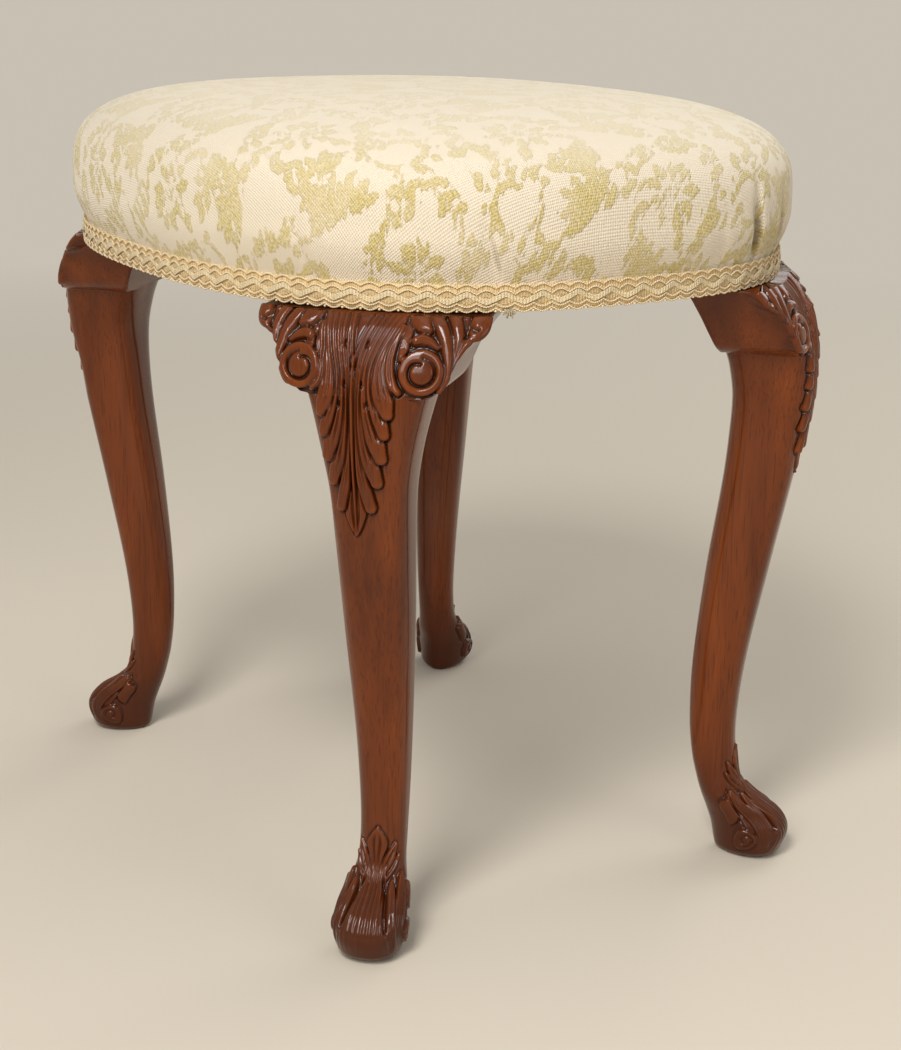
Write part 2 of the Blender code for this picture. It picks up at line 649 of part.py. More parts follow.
def seat_rings(depth):
    """Return the seat's rings at a depth under its surface, from the crown down to the braid."""
    rows = []
    for share in CROWN_SHARES:
        rise = (1 - share**CROWN_EDGE_POWER) ** (1 / CROWN_TOP_POWER)
        rows.append((SIDE_BULGE, share, SHOULDER_HEIGHT + CROWN_HEIGHT * rise))
    for share in SIDE_SHARES:
        draw = (1 - cos(pi * share)) / 2
        rows.append((SIDE_BULGE - draw * (SIDE_BULGE + BRAID_INSET), 1.0,
                     SHOULDER_HEIGHT - share * (SHOULDER_HEIGHT - BRAID_TOP)))
    half = (SEAT_HALF_LENGTH + SEAT_HALF_WIDTH) / 2 + SIDE_BULGE
    rings = []
    for i, (outset, share, height) in enumerate(rows):
        before, after = rows[max(i - 1, 0)], rows[min(i + 1, len(rows) - 1)]
        run = half * (after[1] - before[1]) + after[0] - before[0]
        rise = after[2] - before[2]
        inward = -depth * rise / hypot(run, rise)
        if share < 1:
            share -= inward / half
        else:
            outset -= inward
        rings.append(outline_ring(outset, height - depth * run / hypot(run, rise), share))
    return rings


# Stuffing, which rolls over the top edge of the rails
def pad_mesh():
    skirt = BRAID_TOP + WADDING_CLEAR
    rings = [ring for ring in seat_rings(COVER_THICKNESS + 2 * GAP) if ring[0][2] > skirt]
    rings.append(outline_ring(RAIL_OUTSET + GAP, skirt))
    rings.append(outline_ring(RAIL_OUTSET + GAP, PAD_BOTTOM))
    return loft_mesh("stuffing_pad", rings)


add_part("stuffing_pad", pad_mesh(), STUFFING)


# Top cover, drawn down over the rails to the hem behind the braid
def cover_mesh():
    rings = seat_rings(0.0)
    rings.append(outline_ring(-BRAID_INSET, RAIL_BOTTOM + COVER_HEM))
    return loft_mesh("seat_cover", rings, close_end=False)


COVER = add_part("seat_cover", cover_mesh(), FABRIC)
CLOTH = COVER.modifiers.new("thickness", "SOLIDIFY")
CLOTH.thickness = COVER_THICKNESS
CLOTH.offset = -1.0


# Gimp braid round the lower edge: a corded border above and below a plaited middle
def braid_mesh():
    lower_half = ((-BRAID_THICKNESS, 0.0), (-BRAID_RELIEF, 0.0), (0.0, 0.10), (0.0, 0.24),
                  (-BRAID_RELIEF, 0.33))
    profile = [*lower_half, (-BRAID_RELIEF * 0.3, 0.5)]
    profile += [(outset, 1 - share) for outset, share in reversed(lower_half)]
    profile.append(profile[0])
    points = [(outset, RAIL_BOTTOM + BRAID_WIDTH * share) for outset, share in profile]
    rings = [outline_ring(outset, height) for outset, height in points]
    mesh = loft_mesh("gimp_braid", rings, close_start=False, close_end=False)
    bm = bmesh.new()
    bm.from_mesh(mesh)
    bmesh.ops.remove_doubles(bm, verts=bm.verts, dist=0.00001)
    bmesh.ops.recalc_face_normals(bm, faces=bm.faces)
    bm.to_mesh(mesh)
    bm.free()
    return mesh


add_part("gimp_braid", braid_mesh(), BRAID)

# Bottom cloth tacked under the rails and cut back round the legs
CLOTH_RINGS = [outline_ring(RAIL_OUTSET - CLOTH_INSET, RAIL_BOTTOM - GAP - CLOTH_THICKNESS),
               outline_ring(RAIL_OUTSET - CLOTH_INSET, RAIL_BOTTOM - GAP)]
BOTTOM = add_part("bottom_cloth", loft_mesh("bottom_cloth", CLOTH_RINGS), CAMBRIC)
KNEE_CLEAR = box_mesh("knee_clearance",
                      (KNEE_BACK - KNEE_BACK_RAKE - CLOTH_CORNER_CLEAR,
                       -EAR_TOP_REACH - CLOTH_CORNER_CLEAR, EAR_BOTTOM),
                      (KNEE_DEPTH, EAR_TOP_REACH + CLOTH_CORNER_CLEAR, RAIL_TOP))
for corner, frame in zip(CORNERS, LEG_FRAMES):
    cut(BOTTOM, add_cutter("knee_clearance_" + corner, KNEE_CLEAR, frame))
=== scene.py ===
import json
from math import cos, pi, radians, sin

import bmesh
import bpy
import numpy as np
from mathutils import Matrix, Vector


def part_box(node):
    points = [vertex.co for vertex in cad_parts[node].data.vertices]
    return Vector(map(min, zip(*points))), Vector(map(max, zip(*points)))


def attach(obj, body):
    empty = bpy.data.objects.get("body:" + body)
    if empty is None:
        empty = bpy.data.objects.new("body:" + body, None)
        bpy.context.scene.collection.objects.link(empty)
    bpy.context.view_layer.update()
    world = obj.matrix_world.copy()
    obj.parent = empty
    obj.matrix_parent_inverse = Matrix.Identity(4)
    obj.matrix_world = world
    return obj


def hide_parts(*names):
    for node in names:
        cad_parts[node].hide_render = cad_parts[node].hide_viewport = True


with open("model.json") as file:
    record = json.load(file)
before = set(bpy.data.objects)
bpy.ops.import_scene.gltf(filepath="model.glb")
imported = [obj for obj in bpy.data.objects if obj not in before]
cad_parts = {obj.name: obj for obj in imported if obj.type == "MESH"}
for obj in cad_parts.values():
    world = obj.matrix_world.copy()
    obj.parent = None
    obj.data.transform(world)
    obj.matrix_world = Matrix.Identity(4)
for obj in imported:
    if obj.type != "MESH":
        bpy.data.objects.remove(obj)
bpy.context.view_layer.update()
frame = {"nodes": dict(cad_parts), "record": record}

# Carved legs
# A cabriole leg is one baulk of walnut, sawn to its curve and carved, with a post left square at its top.
# An ear is glued on at each side of the knee, and one acanthus leaf with two volutes runs across all three.
MM = 0.001
LEG_TURNS = {"front_right": -45, "back_right": 45, "back_left": 135, "front_left": 225}
LEG_PLACES = {mount["name"]: Vector(mount["pos_m"]) for mount in frame["record"]["mounts"]}
LEG_SECTIONS = (
    # height, centre, depth and width in millimetres, how square the section is, heel as a share of the width
    (0.0, -6.5, 32.1, 26.8, 2.2, 0.64),
    (2.4, -5.4, 39.2, 35.0, 2.2, 0.64),
    (5.9, -4.4, 43.3, 40.0, 2.2, 0.64),
    (18.1, -4.4, 48.3, 44.0, 2.2, 0.64),
    (28.1, -9.8, 44.7, 41.5, 2.2, 0.64),
    (37.0, -18.7, 33.9, 35.5, 2.2, 0.74),
    (47.1, -24.9, 27.8, 28.8, 2.2, 0.90),
    (63.0, -28.7, 27.8, 26.8, 2.2, 1.0),
    (86.9, -30.6, 29.2, 28.0, 2.3, 1.0),
    (126.6, -28.7, 32.6, 31.2, 2.5, 1.0),
    (190.2, -20.2, 38.1, 37.6, 2.7, 1.0),
    (245.9, -11.3, 41.5, 41.8, 3.0, 1.0),
    (275.0, -7.5, 44.2, 44.8, 3.2, 1.0),
    (298.9, -5.5, 46.4, 52.3, 3.6, 1.0),
    (317.4, -6.6, 49.0, 60.6, 4.0, 1.0),
    (328.0, -8.1, 51.8, 66.0, 4.4, 1.0),
)
EAR_SECTIONS = (
    # height, front and back at the middle of the knee, reach of the face and of the block, in millimetres
    (328.0, 17.8, -34.0, 33.5, 33.5),
    (329.0, 17.7, -34.4, 35.8, 35.8),
    (331.0, 17.5, -35.4, 39.2, 39.2),
    (334.4, 17.1, -37.0, 42.7, 42.7),
    (340.0, 16.0, -39.5, 45.6, 45.6),
    (345.1, 14.6, -41.8, 47.6, 47.6),
    (350.0, 12.6, -44.0, 49.5, 49.5),
    (354.6, 10.2, -46.1, 52.2, 52.0),
    (357.2, 8.8, -47.3, 55.4, 53.6),
    (359.0, 7.7, -48.1, 59.0, 54.8),
    (361.0, 6.4, -49.0, 61.4, 56.2),
    (364.5, 3.8, -50.6, 62.4, 58.8),
    (368.7, -0.5, -52.5, 62.2, 61.6),
)
EAR_BOTTOM = 328.0
EAR_TOP = 368.7
EAR_SHIFT = -0.6
EAR_SWEEP = 13.0
EAR_REACH = 64.0
EAR_SIDE_EASE = (3.0, 11.0)
EAR_EVENED_BY = 14.0
EAR_SETTLED_BY = 12.0
EAR_SHIFTED_BY = 5.0
POST_HALF_WIDTH = 21.0
POST_FRONT = -13.6
POST_BACK = -50.0
POST_TOP = 417.0
FOOT_CARVING_TOP = 76.0
KNEE_CARVING_BOTTOM = 246.0
RING_STEPS = 720
# How far round the leg its face and its sides run, at the foot and at the knee, in degrees
FACE_TURNS = (128.0, 45.0)
SIDE_TURNS = (153.0, 135.0)
FRONT_COLUMNS = 200
SIDE_COLUMNS = 22
BACK_COLUMNS = 10
FACE = slice(BACK_COLUMNS + SIDE_COLUMNS, BACK_COLUMNS + SIDE_COLUMNS + FRONT_COLUMNS + 1)
FOOT_ROWS = 100
SHAFT_ROWS = 36
KNEE_ROWS = 138
EAR_ROWS = 72


def smooth_rows(rows, heights):
    """Read a table of shapes at many heights, on smooth curves through its rows."""
    rows = np.array(rows)
    last = len(rows) - 1
    before = rows[[max(i - 1, 0) for i in range(last + 1)]]
    after = rows[[min(i + 1, last) for i in range(last + 1)]]
    slopes = (after - before) / (after - before)[:, :1]
    start = np.clip(np.searchsorted(rows[:, 0], heights, side="right") - 1, 0, last - 1)
    span = rows[start + 1, 0] - rows[start, 0]
    u = ((heights - rows[start, 0]) / span)[:, None]
    span = span[:, None]
    return ((2 * u**3 - 3 * u**2 + 1) * rows[start] + (u**3 - 2 * u**2 + u) * span * slopes[start]
            + (3 * u**2 - 2 * u**3) * rows[start + 1] + (u**3 - u**2) * span * slopes[start + 1])


def soft_step(low, high, value):
    """Rise smoothly from 0 at the low value to 1 at the high one."""
    share = np.clip((value - low) / (high - low), 0.0, 1.0)
    return share * share * (3 - 2 * share)


def rounded(value, power):
    """Swell a cosine or sine, so that a circle becomes a rounded rectangle."""
    return np.sign(value) * abs(value) ** (2 / power)


def run_along(points):
    """Return each point's distance along a line of points."""
    return np.concatenate(([0.0], np.cumsum(np.linalg.norm(np.diff(points, axis=0), axis=1))))


def leg_ring(height, centre, depth, width, power, heel):
    """Return one section of the leg and each point's distance round it from the middle of the front."""
    turn = np.linspace(-pi, pi, RING_STEPS + 1)
    forward = rounded(np.cos(turn), power)
    narrowed = width * (1 - (1 - heel) * ((1 - forward) / 2) ** 2)
    x = centre + depth / 2 * forward
    y = narrowed / 2 * rounded(np.sin(turn), power)
    girth = run_along(np.stack((x, y), axis=1))
    knee_share = soft_step(FOOT_CARVING_TOP, KNEE_CARVING_BOTTOM, height)
    front, back = (radians(foot + (knee - foot) * knee_share) for foot, knee in (FACE_TURNS, SIDE_TURNS))
    marks = np.interp((-pi, -back, -front, front, back, pi), turn, girth)
    counts = (BACK_COLUMNS, SIDE_COLUMNS, FRONT_COLUMNS, SIDE_COLUMNS, BACK_COLUMNS)
    places = np.concatenate([np.linspace(low, high, count, endpoint=False)
                             for low, high, count in zip(marks, marks[1:], counts)] + [marks[-1:]])
    ring = np.stack((np.interp(places, girth, x), np.interp(places, girth, y),
                     np.full_like(places, height)), axis=1)
    return ring, places - girth[-1] / 2


def ear_ring(height, front, back, reach, block, spread):
    """Return one level ring through the knee and both ears, with the columns of its face spread as given."""
    face = reach * spread
    corner = front - EAR_SWEEP * (reach / EAR_REACH) ** 2
    side_out = np.linspace(corner, back, SIDE_COLUMNS + 1)
    side_reach = reach + (block - reach) * soft_step(*EAR_SIDE_EASE, corner - side_out)
    across = np.concatenate((np.linspace(0, -block, BACK_COLUMNS, endpoint=False), -side_reach[:0:-1], face,
                             side_reach[1:-1], np.linspace(block, 0, BACK_COLUMNS + 1)))
    swept_back = front - EAR_SWEEP * (face / EAR_REACH) ** 2
    out = np.concatenate((np.full(BACK_COLUMNS, back), side_out[:0:-1], swept_back,
                          side_out[1:-1], np.full(BACK_COLUMNS + 1, back)))
    shift = EAR_SHIFT * soft_step(EAR_BOTTOM, EAR_BOTTOM + EAR_SHIFTED_BY, height)
    return np.stack((out, across + shift, np.full_like(across, height)), axis=1)


def curve_through(points, steps=10):
    """Return a smooth run of points through a few chosen ones."""
    keys = np.arange(len(points), dtype=float)
    rows = np.column_stack((keys, np.array(points)))
    return smooth_rows(rows, np.linspace(0, keys[-1], steps * (len(points) - 1) + 1))[:, 1:]


FAR_OFF = 1000.0


def near_stroke(across, height, line, margin):
    """Find the points near a stroke: which, how far off it, how wide it is there and how far along it."""
    reach = line[:, 2].max() + margin
    near = ((across > line[:, 0].min() - reach) & (across < line[:, 0].max() + reach)
            & (height > line[:, 1].min() - reach) & (height < line[:, 1].max() + reach))
    place = np.stack((across[near], height[near]), axis=1)
    steps = np.diff(line[:, :2], axis=0)
    ends = run_along(line[:, :2])
    lengths = np.diff(ends)
    ends = ends / ends[-1]
    offset = np.full(len(place), FAR_OFF)
    width = np.zeros(len(place))
    share = np.zeros(len(place))
    for i, step in enumerate(steps):
        gap = place - line[i, :2]
        along = np.clip(gap @ step / lengths[i] ** 2, 0.0, 1.0)
        gap = gap - along[:, None] * step
        distance = np.hypot(gap[:, 0], gap[:, 1])
        closer = distance < abs(offset)
        side = np.where(step[0] * gap[:, 1] < step[1] * gap[:, 0], 1.0, -1.0)
        offset[closer] = (side * distance)[closer]
        width[closer] = (line[i, 2] + along * (line[i + 1, 2] - line[i, 2]))[closer]
        share[closer] = (ends[i] + along * (ends[i + 1] - ends[i]))[closer]
    return near, offset, width, share


STROKE_MARGIN = 2.0
SET_IN_WIDTH = 1.5
SET_IN_DEPTH = 1.3
VEIN_DEPTH = 1.35
VEIN_WIDTH = 0.62
VEIN_SPREAD = 1.15
# Shares of a stroke's length over which its veins start and end, and over which it runs in and out
VEIN_START = (0.10, 0.40)
VEIN_END = (0.78, 0.97)
RUN_IN = (0.0, 0.45)
RUN_OUT = (0.45, 0.9)
LOBE_EDGE = (-0.3, 0.35)


def raise_lobe(relief, across, height, points, root, tip, veins=0, dome=0.55, runs_in=False, runs_out=False):
    """Lay a rounded lobe over the carving, set in with a cut round its edge and veined along its length."""
    near, offset, width, share = near_stroke(across, height, curve_through(points), STROKE_MARGIN)
    edge = width - abs(offset)
    rise = root + (tip - root) * share**1.5
    crown = np.sqrt(np.clip(1 - (offset / width) ** 2, 0.0, 1.0))
    lobe = rise * (1 - dome + dome * crown)
    for i in range(veins):
        middle = width * VEIN_SPREAD * ((i + 0.5) / veins - 0.5)
        fade = soft_step(*VEIN_START, share) * (1 - soft_step(*VEIN_END, share))
        lobe -= VEIN_DEPTH * fade * np.exp(-((offset - middle) / VEIN_WIDTH) ** 2)
    begun = soft_step(*RUN_IN, share) if runs_in else 1.0
    kept = 1 - soft_step(*RUN_OUT, share) if runs_out else 1.0
    under = relief[near] - SET_IN_DEPTH * begun * kept * (1 - soft_step(0.0, SET_IN_WIDTH, -edge))
    relief[near] = under + (lobe - under) * begun * soft_step(*LOBE_EDGE, edge)


def cut_groove(relief, across, height, points, depth):
    """Cut a rounded groove that runs out at both ends."""
    near, offset, width, share = near_stroke(across, height, curve_through(points), STROKE_MARGIN)
    fade = soft_step(0.0, 0.15, share) * (1 - soft_step(0.85, 1.0, share))
    relief[near] -= depth * fade * np.exp(-(offset / width) ** 2)


LEAF_LOBES = (
    # the right half's lobes from the tip up, as places from the midrib, heights and half widths
    ((7.9, 369, 1.5), (2.8, 346, 1.2), (2.3, 322, 1.2), (3.0, 300, 1.7), (5.4, 282, 3.4), (8.8, 268, 3.2)),
    ((11.2, 369, 1.7), (5.5, 346, 1.4), (4.6, 326, 1.5), (6.2, 309, 3.0), (9.6, 294, 4.6),
     (12.8, 282.5, 3.4)),
    ((14.6, 369, 1.8), (8.6, 347, 1.7), (7.2, 333, 1.9), (9.0, 319, 3.6), (12.6, 306, 5.0), (15.4, 296, 3.6)),
    ((18.0, 369, 1.9), (12.1, 349, 1.9), (10.4, 339, 2.1), (12.0, 328, 3.4), (15.0, 318, 4.2),
     (17.4, 309, 3.2)),
    ((21.3, 369, 1.9), (16.2, 352, 2.3), (14.6, 343, 3.3), (15.6, 334, 5.0), (17.6, 326, 5.2),
     (19.2, 320, 3.4)),
    ((24.8, 372, 1.9), (25.6, 362, 2.5), (25.8, 355, 2.6), (25.4, 348.5, 1.8)),
    ((22.2, 364, 1.5), (19.8, 352, 2.0), (19.8, 342, 2.5), (21.8, 335.5, 2.6), (24.6, 332, 2.2)),
)
LEAF_RISE = (1.0, 3.5)
LEAF_DOME = 0.78
TWO_VEINED_LOBES = 6
LEAF_TIP_LOBE = ((0.0, 294, 1.6), (0.0, 278, 5.0), (0.0, 266, 6.2), (0.0, 257, 3.6), (0.0, 252.5, 1.2))
LEAF_TIP_RISE = (0.3, 2.0)
LEAF_EYES = ((6.4, 354.0), (5.2, 333.5), (8.2, 323.0))
LEAF_EYE_DEPTH = 2.0
WEDGE_RIDGE = ((0.2, 343.5, 0.7), (1.9, 354, 0.9), (5.9, 369, 1.1))
WEDGE_RISE = (1.0, 1.6)
MIDRIB = ((0.0, 349, 0.7), (0.0, 320, 1.0), (0.0, 285, 0.9), (0.0, 254, 0.6))
MIDRIB_RISE = (1.8, 1.2)
MIDRIB_HEIGHTS = (254, 275, 300, 330, 349, 355, 362, 369)
MIDRIB_PLACES = (-4.1, -4.4, -4.7, -5.2, -5.2, -4.8, -3.7, -1.8)
VOLUTE_PLACE = (32.9, 341.8)
VOLUTE_RADIUS = 11.6
VOLUTE_EYE = 6.0
VOLUTE_EYE_RISE = 2.6
VOLUTE_EYE_DOME = 0.7
VOLUTE_CURL_IN = 1.8
VOLUTE_CURL_SHARE = 0.16
VOLUTE_WIDENING = 1.6
VOLUTE_ROLL_BASE = 1.5
VOLUTE_ROLL_RISE = 1.3
VOLUTE_ROLL_OUT = 0.3
VOLUTE_ROLL_SPREAD = 0.5
VOLUTE_CHANNEL_WIDTH = 0.68
VOLUTE_CHANNEL_DEPTH = 2.6
VOLUTE_CHANNEL_FADE = 0.85
VOLUTE_CHANNEL_END = (0.70, 0.97)
VOLUTE_EDGE = (-0.35, 0.35)
VOLUTE_SHIFT = -2.1
EAR_STROKES = (
    # three ridges, a petal, a bud and the end's knob: rise at root and tip, doming, and the stroke itself
    (2.2, 2.4, 0.85, ((31.5, 372, 2.8), (39.2, 365.5, 3.4), (43.6, 358, 3.5), (46.2, 349, 3.1),
                      (46.0, 340, 2.2), (42.0, 332.5, 1.3))),
    (2.2, 2.4, 0.85, ((43.5, 372, 2.6), (48.2, 364.5, 3.0), (50.4, 356, 2.7), (50.4, 348, 1.8),
                      (49.0, 341, 1.0))),
    (2.2, 2.4, 0.85, ((59.5, 360.5, 2.8), (55.2, 357.0, 2.6), (52.4, 351.5, 2.0), (50.4, 344, 1.2))),
    (2.2, 3.2, 0.8, ((24.4, 373, 3.0), (27.4, 369, 4.2), (31.4, 364.8, 4.0), (34.8, 362.2, 1.8))),
    (1.8, 3.0, 0.8, ((40.0, 354.2, 1.4), (36.2, 357.0, 2.3), (31.8, 358.2, 2.8), (28.6, 357.4, 2.5))),
    (2.8, 2.6, 0.55, ((60.4, 371, 4.8), (59.8, 365.5, 5.6), (58.6, 361.4, 4.3))),
)
EAR_SLIT = ((54.6, 365.2, 0.6), (57.0, 362.3, 0.9), (59.8, 362.6, 0.6))
EAR_SLIT_DEPTH = 2.6


def blurred(relief, passes):
    """Even out a carving, to tell its hollows from its crests."""
    for _ in range(passes):
        padded = np.pad(relief, 1, mode="edge")
        relief = (padded[1:-1, :-2] + padded[1:-1, 2:] + padded[:-2, 1:-1] + padded[2:, 1:-1]
                  + 2 * relief) / 6
    return relief


def carve_volute(relief, across, height):
    """Raise a roll that winds in to a flat eye, and cut the channel between its turns."""
    x = across - VOLUTE_PLACE[0]
    z = height - VOLUTE_PLACE[1]
    radius = np.hypot(x, z)
    wind = np.mod(np.arctan2(z, x) - pi / 2, 2 * pi) / (2 * pi)
    curled_in = VOLUTE_CURL_IN * (1 - soft_step(0.0, VOLUTE_CURL_SHARE, wind))
    channel = VOLUTE_EYE - curled_in + VOLUTE_WIDENING * wind
    middle = (channel + VOLUTE_RADIUS) / 2 + VOLUTE_ROLL_OUT
    half = (VOLUTE_RADIUS - channel) / 2 + VOLUTE_ROLL_SPREAD
    roll = np.sqrt(np.clip(1 - ((radius - middle) / half) ** 2, 0.0, 1.0))
    face = np.where(radius > channel, VOLUTE_ROLL_BASE + VOLUTE_ROLL_RISE * roll,
                    VOLUTE_EYE_RISE - VOLUTE_EYE_DOME * (radius / VOLUTE_EYE) ** 4)
    depth = VOLUTE_CHANNEL_DEPTH * (1 - VOLUTE_CHANNEL_FADE * soft_step(*VOLUTE_CHANNEL_END, wind))
    face = face - depth * np.exp(-((radius - channel) / VOLUTE_CHANNEL_WIDTH) ** 2)
    edge = VOLUTE_RADIUS - radius
    under = relief - SET_IN_DEPTH * (1 - soft_step(0.0, SET_IN_WIDTH, -edge))
    return under + (face - under) * soft_step(*VOLUTE_EDGE, edge)


KNEE_GROUND = 0.9
KNEE_GROUND_HEIGHT = 275.0
KNEE_SIDES = (15.0, 21.0)
KNEE_SIDE_HEIGHTS = (316.0, 330.0)
LEAF_LEFT_SHARE = 0.84
LEAF_EVENED = (325.0, 350.0)


def carve_knee(across, height):
    """Return how far the knee's carving stands off its face, in millimetres."""
    relief = np.zeros_like(across)
    from_midrib = across - np.interp(height, MIDRIB_HEIGHTS, MIDRIB_PLACES)
    left_share = LEAF_LEFT_SHARE + (1 - LEAF_LEFT_SHARE) * soft_step(*LEAF_EVENED, height)
    halves = {1: from_midrib, -1: -from_midrib / left_share}
    raise_lobe(relief, from_midrib, height, LEAF_TIP_LOBE, *LEAF_TIP_RISE, 2)
    for i, lobe in enumerate(LEAF_LOBES):
        veins = 2 if i < TWO_VEINED_LOBES else 1
        for side in (1, -1):
            raise_lobe(relief, halves[side], height, lobe, *LEAF_RISE, veins, dome=LEAF_DOME)
    for side in (1, -1):
        for x, z in LEAF_EYES:
            eye = curve_through(((x, z, 0.9), (x - 0.3, z + 2.4, 0.6)))
            near, offset, width, _ = near_stroke(halves[side], height, eye, STROKE_MARGIN)
            relief[near] -= LEAF_EYE_DEPTH * np.exp(-(offset / width) ** 2)
        raise_lobe(relief, halves[side], height, WEDGE_RIDGE, *WEDGE_RISE)
        out = side * (across - VOLUTE_SHIFT)
        for root, tip, dome, stroke in EAR_STROKES:
            raise_lobe(relief, out, height, stroke, root, tip, dome=dome)
        cut_groove(relief, out, height, EAR_SLIT, EAR_SLIT_DEPTH)
        relief[:] = carve_volute(relief, out, height)
    raise_lobe(relief, from_midrib, height, MIDRIB, *MIDRIB_RISE)
    on_the_side = soft_step(*KNEE_SIDES, abs(across)) * (1 - soft_step(*KNEE_SIDE_HEIGHTS, height))
    sunk = KNEE_GROUND * soft_step(KNEE_CARVING_BOTTOM, KNEE_GROUND_HEIGHT, height)
    return relief - sunk * (1 - on_the_side)


FOOT_LEAF = (
    # upright leaflets over the ankle, as distances round the foot, heights and half widths
    ((3.8, 40, 1.2), (9.2, 47.5, 2.8), (13.2, 54, 1.0)),
    ((2.6, 42, 1.2), (7.2, 52, 3.2), (11.0, 61, 1.0)),
)
FOOT_LEAF_RISE = (1.3, 1.5)
FOOT_LEAF_TIP = ((0.0, 38, 1.4), (0.0, 51, 3.4), (0.0, 61, 6.2), (0.0, 66.5, 4.0), (0.0, 70.5, 0.8))
FOOT_LEAF_TIP_RISE = (1.5, 1.4)
FOOT_LOBES = (
    # rounded lobes that turn up round the ball, outside the slits
    ((19.0, 41.5, 1.2), (22.5, 36.5, 2.8), (28.5, 28, 3.6), (31.0, 19, 3.6), (31.5, 9, 2.4)),
    ((16.0, 43.5, 1.4), (19.0, 36.5, 3.8), (23.4, 27, 4.6), (24.8, 17, 4.2), (25.4, 6, 3.0)),
    ((10.6, 41, 1.2), (12.6, 33.5, 3.2), (16.2, 24, 4.0), (18.0, 16, 3.6), (18.8, 6, 2.4)),
)
FOOT_LOBE_RISE = (1.9, 0.1)
FOOT_FLUTES = 4
FOOT_FLUTE_PITCH = 3.4
FOOT_FLUTE = (
    # one flute from the ankle down over the toe, as shares of its reach, heights and half widths
    (0.34, 58, 0.7), (0.42, 50, 0.9), (0.56, 40, 1.2), (0.82, 29, 1.6), (1.0, 21, 1.9), (1.08, 8, 2.0),
)
FOOT_FLUTE_RISE = (2.2, 0.1)
FOOT_SLIT = ((4.6, 44, 0.7), (8.6, 36, 1.1), (12.6, 27, 1.5), (15.0, 19, 0.8))
FOOT_SLIT_DEPTH = 3.4
FOOT_PETAL = ((21.5, 39.6, 0.6), (25.5, 37, 1.9), (31.0, 33.4, 3.0), (36.5, 29.4, 3.1), (41.0, 25.8, 2.2),
              (43.5, 23.6, 0.7))
FOOT_PETAL_RISE = (2.2, 2.2)
FOOT_SCROLL_PLACE = (36.0, 14.8)
FOOT_SCROLL_RADIUS = 7.4
FOOT_SCROLL_RISE = 2.2
FOOT_SCROLL_EDGE = (-0.4, 0.5)
FOOT_CHANNEL_START = 1.8
FOOT_CHANNEL_WIDENING = 3.2
FOOT_CHANNEL_DEPTH = 1.9
FOOT_CHANNEL_WIDTH = 0.6
FOOT_SET_IN_DEPTH = 1.2
FOOT_SET_IN_WIDTH = 1.6
FOOT_CARVING_EASE = 6.0


def carve_foot_scroll(relief, across, height):
    """Raise a disc beside the toe, with a channel that winds out across it."""
    x = across - FOOT_SCROLL_PLACE[0]
    z = height - FOOT_SCROLL_PLACE[1]
    radius = np.hypot(x, z)
    wind = np.mod(np.arctan2(z, x) + pi / 2, 2 * pi) / (2 * pi)
    channel = FOOT_CHANNEL_START + FOOT_CHANNEL_WIDENING * wind
    face = FOOT_SCROLL_RISE - FOOT_CHANNEL_DEPTH * np.exp(-((radius - channel) / FOOT_CHANNEL_WIDTH) ** 2)
    edge = FOOT_SCROLL_RADIUS - radius
    under = relief - FOOT_SET_IN_DEPTH * (1 - soft_step(0.0, FOOT_SET_IN_WIDTH, -edge))
    return under + (face - under) * soft_step(*FOOT_SCROLL_EDGE, edge)


def carve_foot(across, height):
    """Return how far the foot's carving stands off its surface, in millimetres."""
    relief = np.zeros_like(across)
    for side in (1, -1):
        out = side * across
        for lobe in FOOT_LOBES:
            raise_lobe(relief, out, height, lobe, *FOOT_LOBE_RISE, 3, dome=0.35, runs_out=True)
        raise_lobe(relief, out, height, FOOT_PETAL, *FOOT_PETAL_RISE, dome=0.8)
        relief = carve_foot_scroll(relief, out, height)
        for leaflet in FOOT_LEAF:
            raise_lobe(relief, out, height, leaflet, *FOOT_LEAF_RISE, 1)
    raise_lobe(relief, across, height, FOOT_LEAF_TIP, *FOOT_LEAF_TIP_RISE, 2)
    for i in reversed(range(FOOT_FLUTES)):
        reach = FOOT_FLUTE_PITCH * (i + 0.5)
        flute = [(share * reach, level, half_width) for share, level, half_width in FOOT_FLUTE]
        for side in (1, -1):
            raise_lobe(relief, side * across, height, flute, *FOOT_FLUTE_RISE, dome=0.8,
                       runs_in=True, runs_out=True)
    for side in (1, -1):
        cut_groove(relief, side * across, height, FOOT_SLIT, FOOT_SLIT_DEPTH)
    return relief * soft_step(0.0, FOOT_CARVING_EASE, height)


def outward(points):
    """Return the direction straight out of a sheet of points."""
    normal = np.cross(np.gradient(points, axis=1), np.gradient(points, axis=0))
    return normal / np.maximum(np.linalg.norm(normal, axis=2, keepdims=True), 1e-9)


KNEE_MIDDLE = 22.0
KNEE_SETTLED = (23.0, 31.0)
SOLE_SHARES = (0.0, 0.5, 0.85)
# How much of the fine and of the broad hollows is darkened, and over how many passes each is found
HOLLOWS = ((0.6, 14), (0.5, 60))


